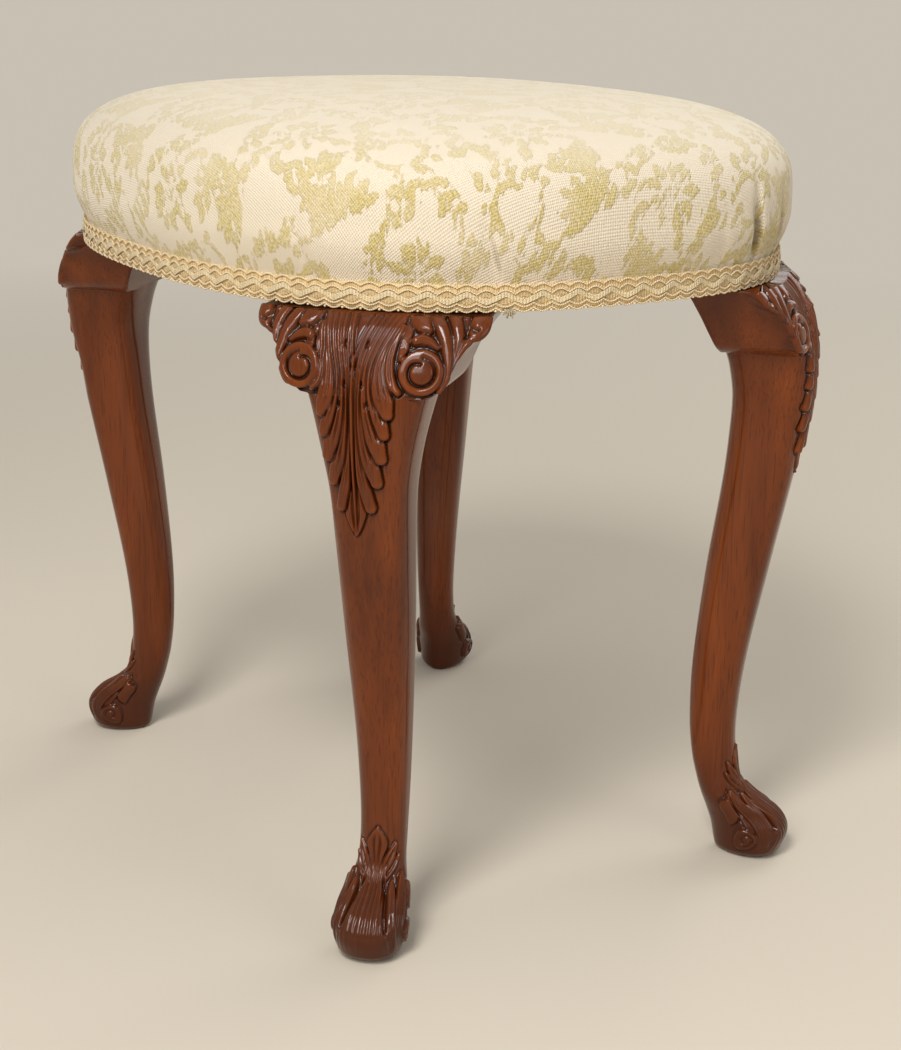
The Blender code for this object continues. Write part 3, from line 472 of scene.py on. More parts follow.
def knee_and_ears(knee_top):
    """Return the rings through the knee and both ears, which grow from the face of the leg's top ring."""
    first_reach = EAR_SECTIONS[0][3]
    opened = (first_reach - knee_top[-1, 1]) * soft_step(KNEE_MIDDLE, knee_top[-1, 1], abs(knee_top[:, 1]))
    first = (knee_top[:, 1] + np.sign(knee_top[:, 1]) * opened) / first_reach
    even = np.linspace(-1, 1, FRONT_COLUMNS + 1)
    heights = np.linspace(EAR_BOTTOM, EAR_TOP, EAR_ROWS)
    evened = soft_step(EAR_BOTTOM, EAR_BOTTOM + EAR_EVENED_BY, heights)
    ears = np.array([ear_ring(*row, first + share * (even - first))
                     for row, share in zip(smooth_rows(EAR_SECTIONS, heights), evened)])
    knee_edge = np.interp(ears[0, FACE, 1], knee_top[:, 1], knee_top[:, 0])
    settle = (1 - soft_step(EAR_BOTTOM, EAR_BOTTOM + EAR_SETTLED_BY, heights))[:, None]
    settle = settle * (1 - soft_step(*KNEE_SETTLED, abs(ears[:, FACE, 1])))
    ears[:, FACE, 0] += settle * (knee_edge - ears[0, FACE, 0])
    return ears


def closed_leg(points):
    """Close a carved leg with three rows for its flat sole and three for its square post."""
    post = points[-1].copy()
    post[:, 0] = np.clip(post[:, 0], POST_BACK, POST_FRONT)
    post[:, 1] = np.clip(post[:, 1], -POST_HALF_WIDTH, POST_HALF_WIDTH)
    post_top = post.copy()
    post_top[:, 2] = POST_TOP
    middle = points[0].mean(axis=0)
    sole = [middle + share * (points[0] - middle) for share in SOLE_SHARES]
    cap = np.zeros_like(post) + post_top.mean(axis=0)
    return np.concatenate((sole, points, [post, post_top, cap]))


def leg_points():
    """Return the carved leg as rows of points from sole to post, and its hollows and crests."""
    heights = np.concatenate((np.linspace(0, FOOT_CARVING_TOP, FOOT_ROWS, endpoint=False),
                              np.linspace(FOOT_CARVING_TOP, KNEE_CARVING_BOTTOM, SHAFT_ROWS, endpoint=False),
                              np.linspace(KNEE_CARVING_BOTTOM, EAR_BOTTOM, KNEE_ROWS, endpoint=False)))
    rings = [leg_ring(*row) for row in smooth_rows(LEG_SECTIONS, heights)]
    leg = np.array([ring for ring, girth in rings])
    round_leg = np.array([girth for ring, girth in rings])
    points = np.concatenate((leg, knee_and_ears(leg[-1, FACE])))
    level = points[:, :, 2]
    relief = np.zeros_like(level)
    foot = level[:, 0] < FOOT_CARVING_TOP
    knee = level[:, 0] >= KNEE_CARVING_BOTTOM
    relief[foot] = carve_foot(round_leg[foot[:len(leg)]], level[foot])
    relief[knee, FACE] = carve_knee(points[knee, FACE, 1], level[knee, FACE])
    relief = blurred(relief, 1)
    hollows = sum(share * (relief - blurred(relief, passes)) for share, passes in HOLLOWS)
    carved = points + relief[:, :, None] * outward(points)
    carved[[0, -1], :, 2] = level[[0, -1]]
    return closed_leg(carved) * MM, np.pad(hollows, ((3, 3), (0, 0)))


def finished_mesh(name, bm):
    """Turn a working mesh into a smooth one."""
    mesh = bpy.data.meshes.new(name)
    bm.to_mesh(mesh)
    bm.free()
    mesh.shade_smooth()
    return mesh


MEETING = 0.000001


def grid_mesh(name, points, flat=None, **values):
    """Lay a grid over rows of points, with values at each point, and join it where its edges meet."""
    rows, columns = points.shape[:2]
    bm = bmesh.new()
    uv = bm.loops.layers.uv.new("UVMap")
    layers = {key: bm.verts.layers.float.new(key) for key in values}
    bmesh.ops.create_grid(bm, x_segments=columns - 1, y_segments=rows - 1, size=1.0, calc_uvs=True)
    for vert, place in zip(bm.verts, points.reshape(-1, 3)):
        vert.co = place
    for key, layer in layers.items():
        for vert, value in zip(bm.verts, values[key].ravel()):
            vert[layer] = value
    if flat is not None:
        bm.verts.index_update()
        flat = flat.reshape(-1, 2)
        for face in bm.faces:
            for loop in face.loops:
                loop[uv].uv = flat[loop.vert.index]
    bmesh.ops.remove_doubles(bm, verts=bm.verts, dist=MEETING)
    bmesh.ops.dissolve_degenerate(bm, edges=bm.edges, dist=MEETING)
    return finished_mesh(name, bm)


def new_piece(name, mesh, material, slot, *nodes):
    """Add a finished mesh to the stool, in place of the named solids."""
    mesh.materials.append(material)
    piece = bpy.data.objects.new(name, mesh)
    bpy.context.scene.collection.objects.link(piece)
    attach(piece, "root")
    if nodes:
        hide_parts(*nodes)
    return piece


def new_material(name):
    """Start a material and return it with its node tree and its shader."""
    material = bpy.data.materials.new(name)
    material.use_nodes = True
    tree = material.node_tree
    return material, tree, tree.nodes["Principled BSDF"]


def set_inputs(tree, node, inputs):
    """Set a node's inputs to values, or link them to the results of other nodes."""
    for name, value in inputs.items():
        if isinstance(value, bpy.types.NodeSocket):
            tree.links.new(value, node.inputs[name])
        else:
            node.inputs[name].default_value = value


def add_node(tree, kind, inputs, **options):
    """Add a shader node, and set its options and its inputs."""
    node = tree.nodes.new("ShaderNode" + kind)
    for option, value in options.items():
        setattr(node, option, value)
    set_inputs(tree, node, inputs)
    return node


def object_place(tree):
    """Return each point's place on the stool, in metres."""
    return add_node(tree, "TexCoord", {}).outputs["Object"]


def painted(tree, name):
    """Return the values that a mesh holds under a name."""
    return add_node(tree, "Attribute", {}, attribute_name=name).outputs["Fac"]


def calculate(tree, operation, *values):
    """Add a Math node and return its result."""
    return add_node(tree, "Math", dict(enumerate(values)), operation=operation).outputs[0]


def waves(tree, value, pitch):
    """Return a sine wave along a value."""
    return calculate(tree, "SINE", calculate(tree, "MULTIPLY", value, 2 * pi / pitch))


def mix_colours(tree, factor, first, second):
    """Mix two colours, each a plain colour or the result of another node."""
    first, second = ((*colour, 1.0) if isinstance(colour, tuple) else colour for colour in (first, second))
    return add_node(tree, "Mix", {0: factor, 6: first, 7: second}, data_type="RGBA").outputs[2]


def graded(tree, value, low, high, start=0.0, end=1.0):
    """Map a value from one range to another, held at the ends."""
    inputs = {"Value": value, "From Min": low, "From Max": high, "To Min": start, "To Max": end}
    return add_node(tree, "MapRange", inputs).outputs["Result"]


def tinted(tree, colour, tint, value, *limits):
    """Turn a colour towards a tint as a value goes between limits."""
    return mix_colours(tree, graded(tree, value, *limits), colour, tint)


EVENLY = (1.0, 1.0, 1.0)


def stretched_noise(tree, vector, stretch, scale, detail=4.0, roughness=0.55):
    """Return noise drawn out along the axes."""
    mapped = add_node(tree, "Mapping", {"Vector": vector, "Scale": stretch}).outputs[0]
    inputs = {"Vector": mapped, "Scale": scale, "Detail": detail, "Roughness": roughness}
    return add_node(tree, "TexNoise", inputs).outputs["Fac"]


def set_bump(tree, shader, height, distance, strength=1.0):
    """Let a height stand out of the surface."""
    bump = add_node(tree, "Bump", {"Height": height, "Distance": distance, "Strength": strength})
    tree.links.new(bump.outputs["Normal"], shader.inputs["Normal"])


WALNUT_LIGHT = (0.232, 0.049, 0.0055)
WALNUT_MID = (0.145, 0.029, 0.0032)
WALNUT_DARK = (0.058, 0.0115, 0.002)
# Old polish with painted shade, laid into the hollows of the carving
POLISH_AND_SHADE_IN_HOLLOWS = (0.009, 0.003, 0.0015)


def walnut_material():
    """French-polished walnut: streaks up the leg, pores, and old polish with painted shade dark in the
    hollows.
    """
    material, tree, shader = new_material("polished_walnut")
    place = object_place(tree)
    figure = stretched_noise(tree, place, (1.0, 1.0, 0.10), 42.0, 3.0)
    streak = stretched_noise(tree, place, (1.0, 1.0, 0.05), 190.0, 4.0, 0.6)
    pores = stretched_noise(tree, place, (1.0, 1.0, 0.025), 900.0, 2.0, 0.5)
    colour = tinted(tree, WALNUT_DARK, WALNUT_LIGHT, figure, 0.30, 0.70)
    colour = tinted(tree, colour, WALNUT_MID, streak, 0.35, 0.65, 0.75, 0.15)
    colour = tinted(tree, colour, WALNUT_DARK, pores, 0.52, 0.70, 0.0, 0.55)
    carving = painted(tree, "carving")
    colour = tinted(tree, colour, WALNUT_LIGHT, carving, 0.15, 0.9, 0.0, 0.45)
    # Old polish and painted shade: the hollows of the carving are darkened.
    colour = tinted(tree, colour, POLISH_AND_SHADE_IN_HOLLOWS, carving, -0.10, -0.95, 0.0, 0.95)
    height = add_node(tree, "SeparateXYZ", {"Vector": place}).outputs["Z"]
    colour = tinted(tree, colour, WALNUT_DARK, height, 0.020, 0.078, 0.86, 0.0)
    colour = tinted(tree, colour, WALNUT_DARK, height, 0.330, 0.362, 0.0, 0.45)
    set_inputs(tree, shader, {"Base Color": colour, "Roughness": graded(tree, streak, 0.3, 0.7, 0.18, 0.28),
                              "Specular IOR Level": 0.08, "Coat Weight": 0.46, "Coat Roughness": 0.10})
    set_bump(tree, shader, pores, 0.0002, 0.25)
    return material


WALNUT = walnut_material()
LEG_POINTS, LEG_HOLLOWS = leg_points()
LEG_MESH = grid_mesh("carved_leg", LEG_POINTS, carving=LEG_HOLLOWS)
for corner, degrees in LEG_TURNS.items():
    mesh = LEG_MESH.copy()
    turn = Matrix.Rotation(radians(degrees), 4, "Z")
    mesh.transform(Matrix.Translation(LEG_PLACES["sole_" + corner]) @ turn)
    new_piece("carved_leg_" + corner, mesh, WALNUT, "walnut", "leg_" + corner,
              "ear_" + corner + "_end", "ear_" + corner + "_side")

# Seat frame
# Four curved beech rails are tenoned into the posts, and a beech block is screwed across each corner.
# The wood is left from the saw, as the upholstery hides it.
BEECH_LIGHT = (0.52, 0.32, 0.16)
BEECH_DARK = (0.33, 0.18, 0.08)


def beech_material():
    """Plain beech, with short dark flecks along the grain."""
    material, tree, shader = new_material("sawn_beech")
    place = object_place(tree)
    cloud = stretched_noise(tree, place, EVENLY, 18.0)
    fleck = stretched_noise(tree, place, (1.0, 1.0, 5.0), 420.0, 2.0)
    colour = tinted(tree, BEECH_LIGHT, BEECH_DARK, cloud, 0.3, 0.7)
    colour = tinted(tree, colour, BEECH_DARK, fleck, 0.58, 0.70, 0.0, 0.6)
    set_inputs(tree, shader, {"Base Color": colour, "Roughness": 0.7})
    set_bump(tree, shader, fleck, 0.0002, 0.4)
    return material


def steel_material():
    """Steel gone dull and spotted."""
    material, tree, shader = new_material("dull_steel")
    place = object_place(tree)
    spots = stretched_noise(tree, place, EVENLY, 600.0)
    colour = tinted(tree, (0.30, 0.29, 0.27), (0.10, 0.06, 0.04), spots, 0.45, 0.65)
    dullness = graded(tree, spots, 0.4, 0.7, 0.35, 0.7)
    set_inputs(tree, shader, {"Base Color": colour, "Roughness": dullness, "Metallic": 1.0})
    return material


BEECH = beech_material()
STEEL = steel_material()
for name, solid in frame["nodes"].items():
    if name.startswith(("rail", "corner_brace", "brace_screw")):
        for material_slot in solid.material_slots:
            material_slot.material = STEEL if name.startswith("brace_screw") else BEECH

# Jute webbing
# Seven straps of twilled jute web are strained across the frame, over and under each other, and tacked.
# They carry the stuffing.
STRAP_WEAVE = 0.0016
STRAPS = (
    # run, axes along and across it, side it is woven from, how many straps, how many they cross, their pitch
    ("long", 0, 1, 1, 3, 4, 0.072),
    ("cross", 1, 0, -1, 4, 3, 0.064),
)
STRAP_STEPS = 96
STRAP_CRISPNESS = 2.2
STRAP_SECTION = (
    # once round a strap, as shares of its half width and millimetres up or down
    (-1, -0.5), (-1, 0.5), (-0.97, 0.8), (0.97, 0.8), (1, 0.5), (1, -0.5), (0.97, -0.8), (-0.97, -0.8),
    (-1, -0.5),
)


def swept(path, side, up, section):
    """Carry a closed section, given as sideways and upward distances, along a path, and close its ends."""
    points = path[:, None] + section[None, :, :1] * side[:, None] + section[None, :, 1:] * up[:, None]
    ends = [np.repeat(points[i].mean(axis=0)[None], len(section), axis=0)[None] for i in (0, -1)]
    return np.concatenate((ends[0], points, ends[1]))


def woven_material(name, warp_colour, weft_colour, warp_pitch, weft_pitch, depth):
    """Plain cloth seen thread by thread, its threads along and across the stool, with pitches in metres."""
    material, tree, shader = new_material(name)
    place = object_place(tree)
    axes = add_node(tree, "SeparateXYZ", {"Vector": place}).outputs
    warp = waves(tree, axes["X"], warp_pitch)
    weft = waves(tree, axes["Y"], weft_pitch)
    weave = calculate(tree, "MULTIPLY", warp, weft)
    slub = stretched_noise(tree, place, EVENLY, 300.0)
    colour = tinted(tree, warp_colour, weft_colour, weave, -0.6, 0.6)
    colour = tinted(tree, colour, warp_colour, slub, 0.35, 0.75, 0.0, 0.5)
    set_inputs(tree, shader, {"Base Color": colour, "Roughness": 0.9, "Specular IOR Level": 0.2})
    set_bump(tree, shader, weave, depth, 0.7)
    return material


JUTE = woven_material("jute_web", (0.40, 0.27, 0.13), (0.56, 0.42, 0.23), 0.0032, 0.0026, 0.0006)
for run, along_axis, across_axis, first_side, count, crossings, pitch in STRAPS:
    for i in range(count):
        name = "webbing_" + run + "_" + str(i + 1)
        low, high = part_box(name)
        along = np.linspace(low[along_axis], high[along_axis], STRAP_STEPS)
        wave = np.cos(pi * (along / pitch + (crossings - 1) / 2))
        wave[abs(along) > pitch * crossings / 2] = 0.0
        phase = first_side * (-1) ** i
        path = np.zeros((STRAP_STEPS, 3))
        path[:, along_axis] = along
        path[:, across_axis] = (low[across_axis] + high[across_axis]) / 2
        crisp_wave = np.tanh(STRAP_CRISPNESS * wave) / np.tanh(STRAP_CRISPNESS)
        path[:, 2] = (low[2] + high[2]) / 2 + phase * STRAP_WEAVE * crisp_wave
        side = np.tile(first_side * np.eye(3)[across_axis], (STRAP_STEPS, 1))
        up = np.tile((0.0, 0.0, 1.0), (STRAP_STEPS, 1))
        half = (high[across_axis] - low[across_axis]) / 2
        strap_mesh = grid_mesh(name, swept(path, side, up, np.array(STRAP_SECTION) * (half, MM)))
        new_piece("jute_" + name, strap_mesh, JUTE, "jute_webbing", name)

# Hessian
# A sheet of loosely woven hessian is laid over the webbing, to hold up the stuffing.
# Its edge lies on the tops of the rails.
OUTLINE_POWER = 2.46
HESSIAN_RINGS = 24
HESSIAN_COLUMNS = 180


def plan_radius(half_length, half_width, turns):
    """Return the distance from the middle of an oval plan to its edge, in each direction."""
    return (abs(np.cos(turns) / half_length) ** OUTLINE_POWER
            + abs(np.sin(turns) / half_width) ** OUTLINE_POWER) ** (-1 / OUTLINE_POWER)


def plan_points(half_length, half_width, turns, shares, heights):
    """Return rings of points from shares of the way out to the edge of an oval plan, at their heights."""
    radius = np.outer(shares, plan_radius(half_length, half_width, turns))
    return np.stack((radius * np.cos(turns), radius * np.sin(turns),
                     np.broadcast_to(np.array(heights)[:, None], radius.shape)), axis=2)


low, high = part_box("hessian")
turns = np.linspace(0, 2 * pi, HESSIAN_COLUMNS + 1)
shares = np.linspace(1.0, 0.0, HESSIAN_RINGS)
levels = np.full(HESSIAN_RINGS, (low[2] + high[2]) / 2)
hessian_points = plan_points(high[0], high[1], turns, shares, levels)
HESSIAN = woven_material("hessian_cloth", (0.42, 0.29, 0.15), (0.52, 0.38, 0.21), 0.0024, 0.0024, 0.0005)
hessian_mesh = grid_mesh("hessian_sheet", hessian_points)
hessian = new_piece("hessian_sheet", hessian_mesh, HESSIAN, "hessian", "hessian")


# Stuffing
# A pad of curled hair under cotton felt is built up on the hessian and stitched to a firm round edge.
# Its crown is nearly flat, and it is pulled in at the corners with the cover.
COVER_LOW, COVER_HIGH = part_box("seat_cover")
CROWN_TOP = COVER_HIGH[2]
CROWN_EDGE = 0.408
BRAID_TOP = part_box("gimp_braid")[1][2]
CROWN_FLATNESS = 4.15
CROWN_ROUNDNESS = 3.49
CROWN_SPACING = 0.62
BULGE = 0.0040
SEAT_HALF_LENGTH = COVER_HIGH[0] - BULGE
SEAT_HALF_WIDTH = COVER_HIGH[1] - BULGE
HEM_IN = -0.0028
TUCKS = (
    # direction in degrees, the way its fold is laid, depth, half width and height up the side in metres
    (23.8, 1, 0.0048, 0.0018, 0.054),
    (32.5, 1, 0.0028, 0.0016, 0.046),
    (27.8, 1, 0.0010, 0.0024, 0.036),
    (15.5, 1, 0.0010, 0.0030, 0.036),
    (-19.0, 1, 0.0026, 0.0018, 0.040),
    (-27.0, 1, 0.0009, 0.0016, 0.034),
    (-44.0, -1, 0.0014, 0.0013, 0.046),
    (-58.0, -1, 0.0009, 0.0020, 0.030),
    (146.0, 1, 0.0042, 0.0016, 0.048),
    (157.0, 1, 0.0056, 0.0017, 0.054),
    (203.0, -1, 0.0050, 0.0017, 0.050),
    (214.0, -1, 0.0036, 0.0016, 0.044),
    (90.0, 1, 0.0008, 0.0026, 0.030),
)
TUCK_LEAN = 0.30
TUCK_LEAN_HEIGHT = 0.03
TUCK_OPENING = 3.2
TUCK_FOOT = (-0.006, 0.012)
TUCK_FADES_FROM = 0.35
DARK_TUCK = 0.0045
SWELL_SHARE = 0.12
SWELL_PLACE = 3.8
SWELL_WIDTH = 2.8
CROWDING = 700
CROWDING_REACH = 0.035
FINE_STEPS = 7200


def turned_from(turns, degrees):
    """Return how far directions are turned from another one, either way."""
    return np.mod(turns - radians(degrees) + pi, 2 * pi) - pi


def crowded_turns(columns):
    """Return directions all round the seat, closer together at the tucks."""
    even = np.linspace(0, 2 * pi, FINE_STEPS + 1)
    crowding = np.ones_like(even)
    for degrees, _, depth, _, _ in TUCKS:
        crowding += CROWDING * depth * np.exp(-(turned_from(even, degrees) / CROWDING_REACH) ** 2)
    run = np.concatenate(([0.0], np.cumsum((crowding[1:] + crowding[:-1]) / 2)))
    return np.interp(np.linspace(0, run[-1], columns + 1), run, even)


def tuck_folds(turns, level):
    """Return how far in the tucks draw the side of the seat, and how far into a crease each point lies."""
    drawn = np.zeros_like(level)
    crease = np.zeros_like(level)
    up = level - BRAID_TOP
    for degrees, lay, depth, half_width, height in TUCKS:
        apart = turned_from(turns, degrees) * SEAT_HALF_LENGTH
        fade = (1 - soft_step(TUCK_FADES_FROM * height, height, up)) * soft_step(*TUCK_FOOT, up)
        lean = lay * (apart[None, :] + TUCK_LEAN * np.clip(up, 0.0, TUCK_LEAN_HEIGHT))
        inside = np.exp(-(lean / np.where(lean < 0, TUCK_OPENING * half_width, half_width)) ** 2)
        swell = np.exp(-((lean - SWELL_PLACE * half_width) / (SWELL_WIDTH * half_width)) ** 2)
        drawn += depth * fade * (inside - SWELL_SHARE * swell)
        dark = np.exp(-((lean - 0.5 * half_width) / half_width) ** 2) * fade * min(depth / DARK_TUCK, 1.0)
        crease = np.maximum(crease, dark)
    return drawn, crease


def seat_points(turns, crown_rings, side_rings, inset, hem):
    """Return the seat's surface as rings from its hem up and over to the middle of the crown."""
    levels = np.linspace(hem, CROWN_EDGE, side_rings, endpoint=False)
    fall = np.clip((levels - BRAID_TOP) / (CROWN_EDGE - BRAID_TOP), 0.0, 1.0)
    outset = HEM_IN + (BULGE - HEM_IN) * np.sin(pi / 2 * fall)
    sides = np.array([plan_points(SEAT_HALF_LENGTH + out - inset, SEAT_HALF_WIDTH + out - inset, turns,
                                  [1.0], [level])[0] for out, level in zip(outset, levels)])
    shares = np.sin(np.linspace(pi / 2, 0, crown_rings)) ** CROWN_SPACING
    rise = (1 - shares**CROWN_FLATNESS) ** (1 / CROWN_ROUNDNESS)
    heights = CROWN_EDGE + (CROWN_TOP - inset - CROWN_EDGE) * rise
    crown = plan_points(SEAT_HALF_LENGTH + BULGE - inset, SEAT_HALF_WIDTH + BULGE - inset, turns,
                        shares, heights)
    points = np.concatenate((sides, crown))
    out = np.stack((np.cos(turns), np.sin(turns), np.zeros_like(turns)), axis=1)
    drawn, crease = tuck_folds(turns, points[:, :, 2])
    return points - drawn[:, :, None] * out[None], crease


def pad_material():
    """Off-white cotton felt over the hair."""
    material, tree, shader = new_material("cotton_felt")
    place = object_place(tree)
    tufts = stretched_noise(tree, place, EVENLY, 260.0)
    colour = mix_colours(tree, tufts, (0.62, 0.58, 0.50), (0.78, 0.75, 0.68))
    set_inputs(tree, shader, {"Base Color": colour, "Roughness": 1.0})
    set_bump(tree, shader, tufts, 0.0015)
    return material


PAD_INSET = 0.0026
PAD_COLUMNS = 300
PAD_CROWN_RINGS = 40
PAD_SIDE_RINGS = 14
PAD_FLOOR_SHARES = (0.0, 0.5, 0.9)
pad_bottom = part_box("stuffing_pad")[0][2]
pad_turns = crowded_turns(PAD_COLUMNS)
pad_skin, _ = seat_points(pad_turns, PAD_CROWN_RINGS, PAD_SIDE_RINGS, PAD_INSET, pad_bottom)
pad_middle = np.zeros_like(pad_skin[0]) + (0.0, 0.0, pad_bottom)
pad_floor = [pad_middle + share * (pad_skin[0] - pad_middle) for share in PAD_FLOOR_SHARES]
pad_mesh = grid_mesh("stuffed_pad", np.concatenate((pad_floor, pad_skin)))
pad = new_piece("stuffed_pad", pad_mesh, pad_material(), "stuffing", "stuffing_pad")

# Seat cover
# One piece of cut velvet, gold pile foliage left standing on a cream ribbed ground, is pulled over the pad.
# It is eased in with small tucks at the corners and tacked to the rails under the braid.
COVER_COLUMNS = 620
COVER_CROWN_RINGS = 84
COVER_SIDE_RINGS = 46
DROP_SHARE = 0.85
PATTERN_SCALE = 0.86
PATTERN_SHIFT = (30.0, 20.0)
PATTERN_MARGIN = 4.0
REPEAT_ALONG = 150.0
REPEAT_ACROSS = 104.0
TURNED_UNDER = 0.97
SPRAY_TURNS = (52, -46)
SCROLL_STEPS = 9
SCROLL_TIGHTENING = 0.45
LEAF_SHAPE = (
    # share of the length along a leaf, half width as a share of its width, bend as a share of its length
    (0.0, 0.35, 0.0), (0.45, 1.0, 0.06), (0.8, 0.7, 0.04), (1.0, 0.15, 0.0),
)


def leaf(base, degrees, length, width):
    """Return one pointed leaf as a stroke: places along and across the cloth, and half widths."""
    along = cos(radians(degrees)) * length
    across = sin(radians(degrees)) * length
    return [(base[0] + share * along - bend * across, base[1] + share * across + bend * along, half * width)
            for share, half, bend in LEAF_SHAPE]


def fan(centre, count, inner, outer, width, start, sweep):
    """Return leaves standing round a centre, like petals."""
    leaves = []
    for i in range(count):
        degrees = start + sweep * i / count
        base = (centre[0] + inner * cos(radians(degrees)), centre[1] + inner * sin(radians(degrees)))
        leaves.append(leaf(base, degrees, outer - inner, width))
    return leaves


def spray(stem, pairs, length, width):
    """Return a stem with leaves on both sides and one at its end."""
    line = curve_through(stem, 8)
    strokes = [stem]
    for i in range(pairs):
        k = int((i + 0.6) / pairs * (len(line) - 2))
        heading = np.degrees(np.arctan2(line[k + 1, 1] - line[k, 1], line[k + 1, 0] - line[k, 0]))
        size = 0.75 + 0.35 * sin(2.6 * i + 0.4)
        strokes.append(leaf(line[k, :2], heading + SPRAY_TURNS[0], length * size, width))
        strokes.append(leaf(line[k, :2], heading + SPRAY_TURNS[1], length * (1.5 - size), width))
    strokes.append(leaf(line[-1, :2], heading, length, width * 1.1))
    return strokes


def scroll(centre, radius, start, sweep, width):
    """Return a curling stroke that tightens and thins towards its end."""
    stroke = []
    for share in np.linspace(0, 1, SCROLL_STEPS):
        turn = radians(start + sweep * share)
        reach = radius * (1 - SCROLL_TIGHTENING * share)
        half_width = width * (0.4 + 0.9 * share - 0.7 * share**3)
        stroke.append((centre[0] + reach * cos(turn), centre[1] + reach * sin(turn), half_width))
    return [stroke]


FOLIAGE = (
    fan((50, -6), 9, 9.0, 25.0, 5.0, 10, 360)
    + fan((50, -6), 5, 1.5, 6.5, 2.0, 30, 360)
    + fan((-16, -30), 7, 2.0, 30.0, 6.0, 70, 190)
    + fan((-46, -24), 6, 2.0, 26.0, 6.2, 110, 200)
    + scroll((-34, 28), 21, -100, 320, 5.0)
    + fan((-34, 28), 7, 20.0, 31.0, 4.6, -30, 230)
    + scroll((4, 6), 15, 150, -280, 4.0)
    + spray([(18, -36, 1.2), (40, -44, 1.6), (64, -36, 1.2), (80, -40, 0.8)], 4, 17, 5.0)
    + spray([(-4, 36, 1.2), (16, 30, 1.5), (34, 38, 1.2), (52, 34, 0.8)], 4, 16, 4.6)
    + [leaf((12, -8), 80, 24, 5.2), leaf((68, 20), 30, 18, 4.6), leaf((-62, 8), 200, 20, 5.0),
       leaf((-66, 46), -20, 16, 4.2), leaf((28, 8), -60, 14, 3.8), leaf((-70, -44), 10, 18, 5.0)]
    + spray([(-74, 22, 1.2), (-60, 20, 1.4), (-50, 10, 1.0)], 3, 15, 4.4)
    + fan((70, 38), 5, 3.0, 19.0, 4.8, 120, 200)
    + fan((22, -18), 5, 2.0, 17.0, 4.6, 150, 170)
    + fan((-6, 16), 4, 3.0, 18.0, 4.6, -80, 150)
)


def foliage_field(along, across):
    """Return how far inside the pile each point of the flat cloth lies, in millimetres."""
    column = np.floor(across / REPEAT_ACROSS)
    x = (across - (column + 0.5) * REPEAT_ACROSS) * np.where(column % 2, -1, 1)
    half_drop = (column % 2) * REPEAT_ALONG / 2
    y = np.mod(along + half_drop + REPEAT_ALONG / 2, REPEAT_ALONG) - REPEAT_ALONG / 2
    field = np.full_like(x, -PATTERN_MARGIN)
    for stroke in FOLIAGE:
        line = curve_through([(place[1], place[0], place[2]) for place in stroke], 5)
        for shift in (-REPEAT_ALONG, 0.0, REPEAT_ALONG):
            near, offset, width, _ = near_stroke(x, y + shift, line, PATTERN_MARGIN)
            field[near] = np.maximum(field[near], width - abs(offset))
    return field


GROUND_CREAM = (0.83, 0.72, 0.555)
GROUND_SHADE = (0.70, 0.58, 0.42)
PILE_GOLD = (0.66, 0.53, 0.215)
PILE_OLIVE = (0.45, 0.335, 0.085)
CREASE_SHADE = (0.16, 0.11, 0.035)
RIB_PITCH = 0.0013
PICK_PITCH = 0.0016


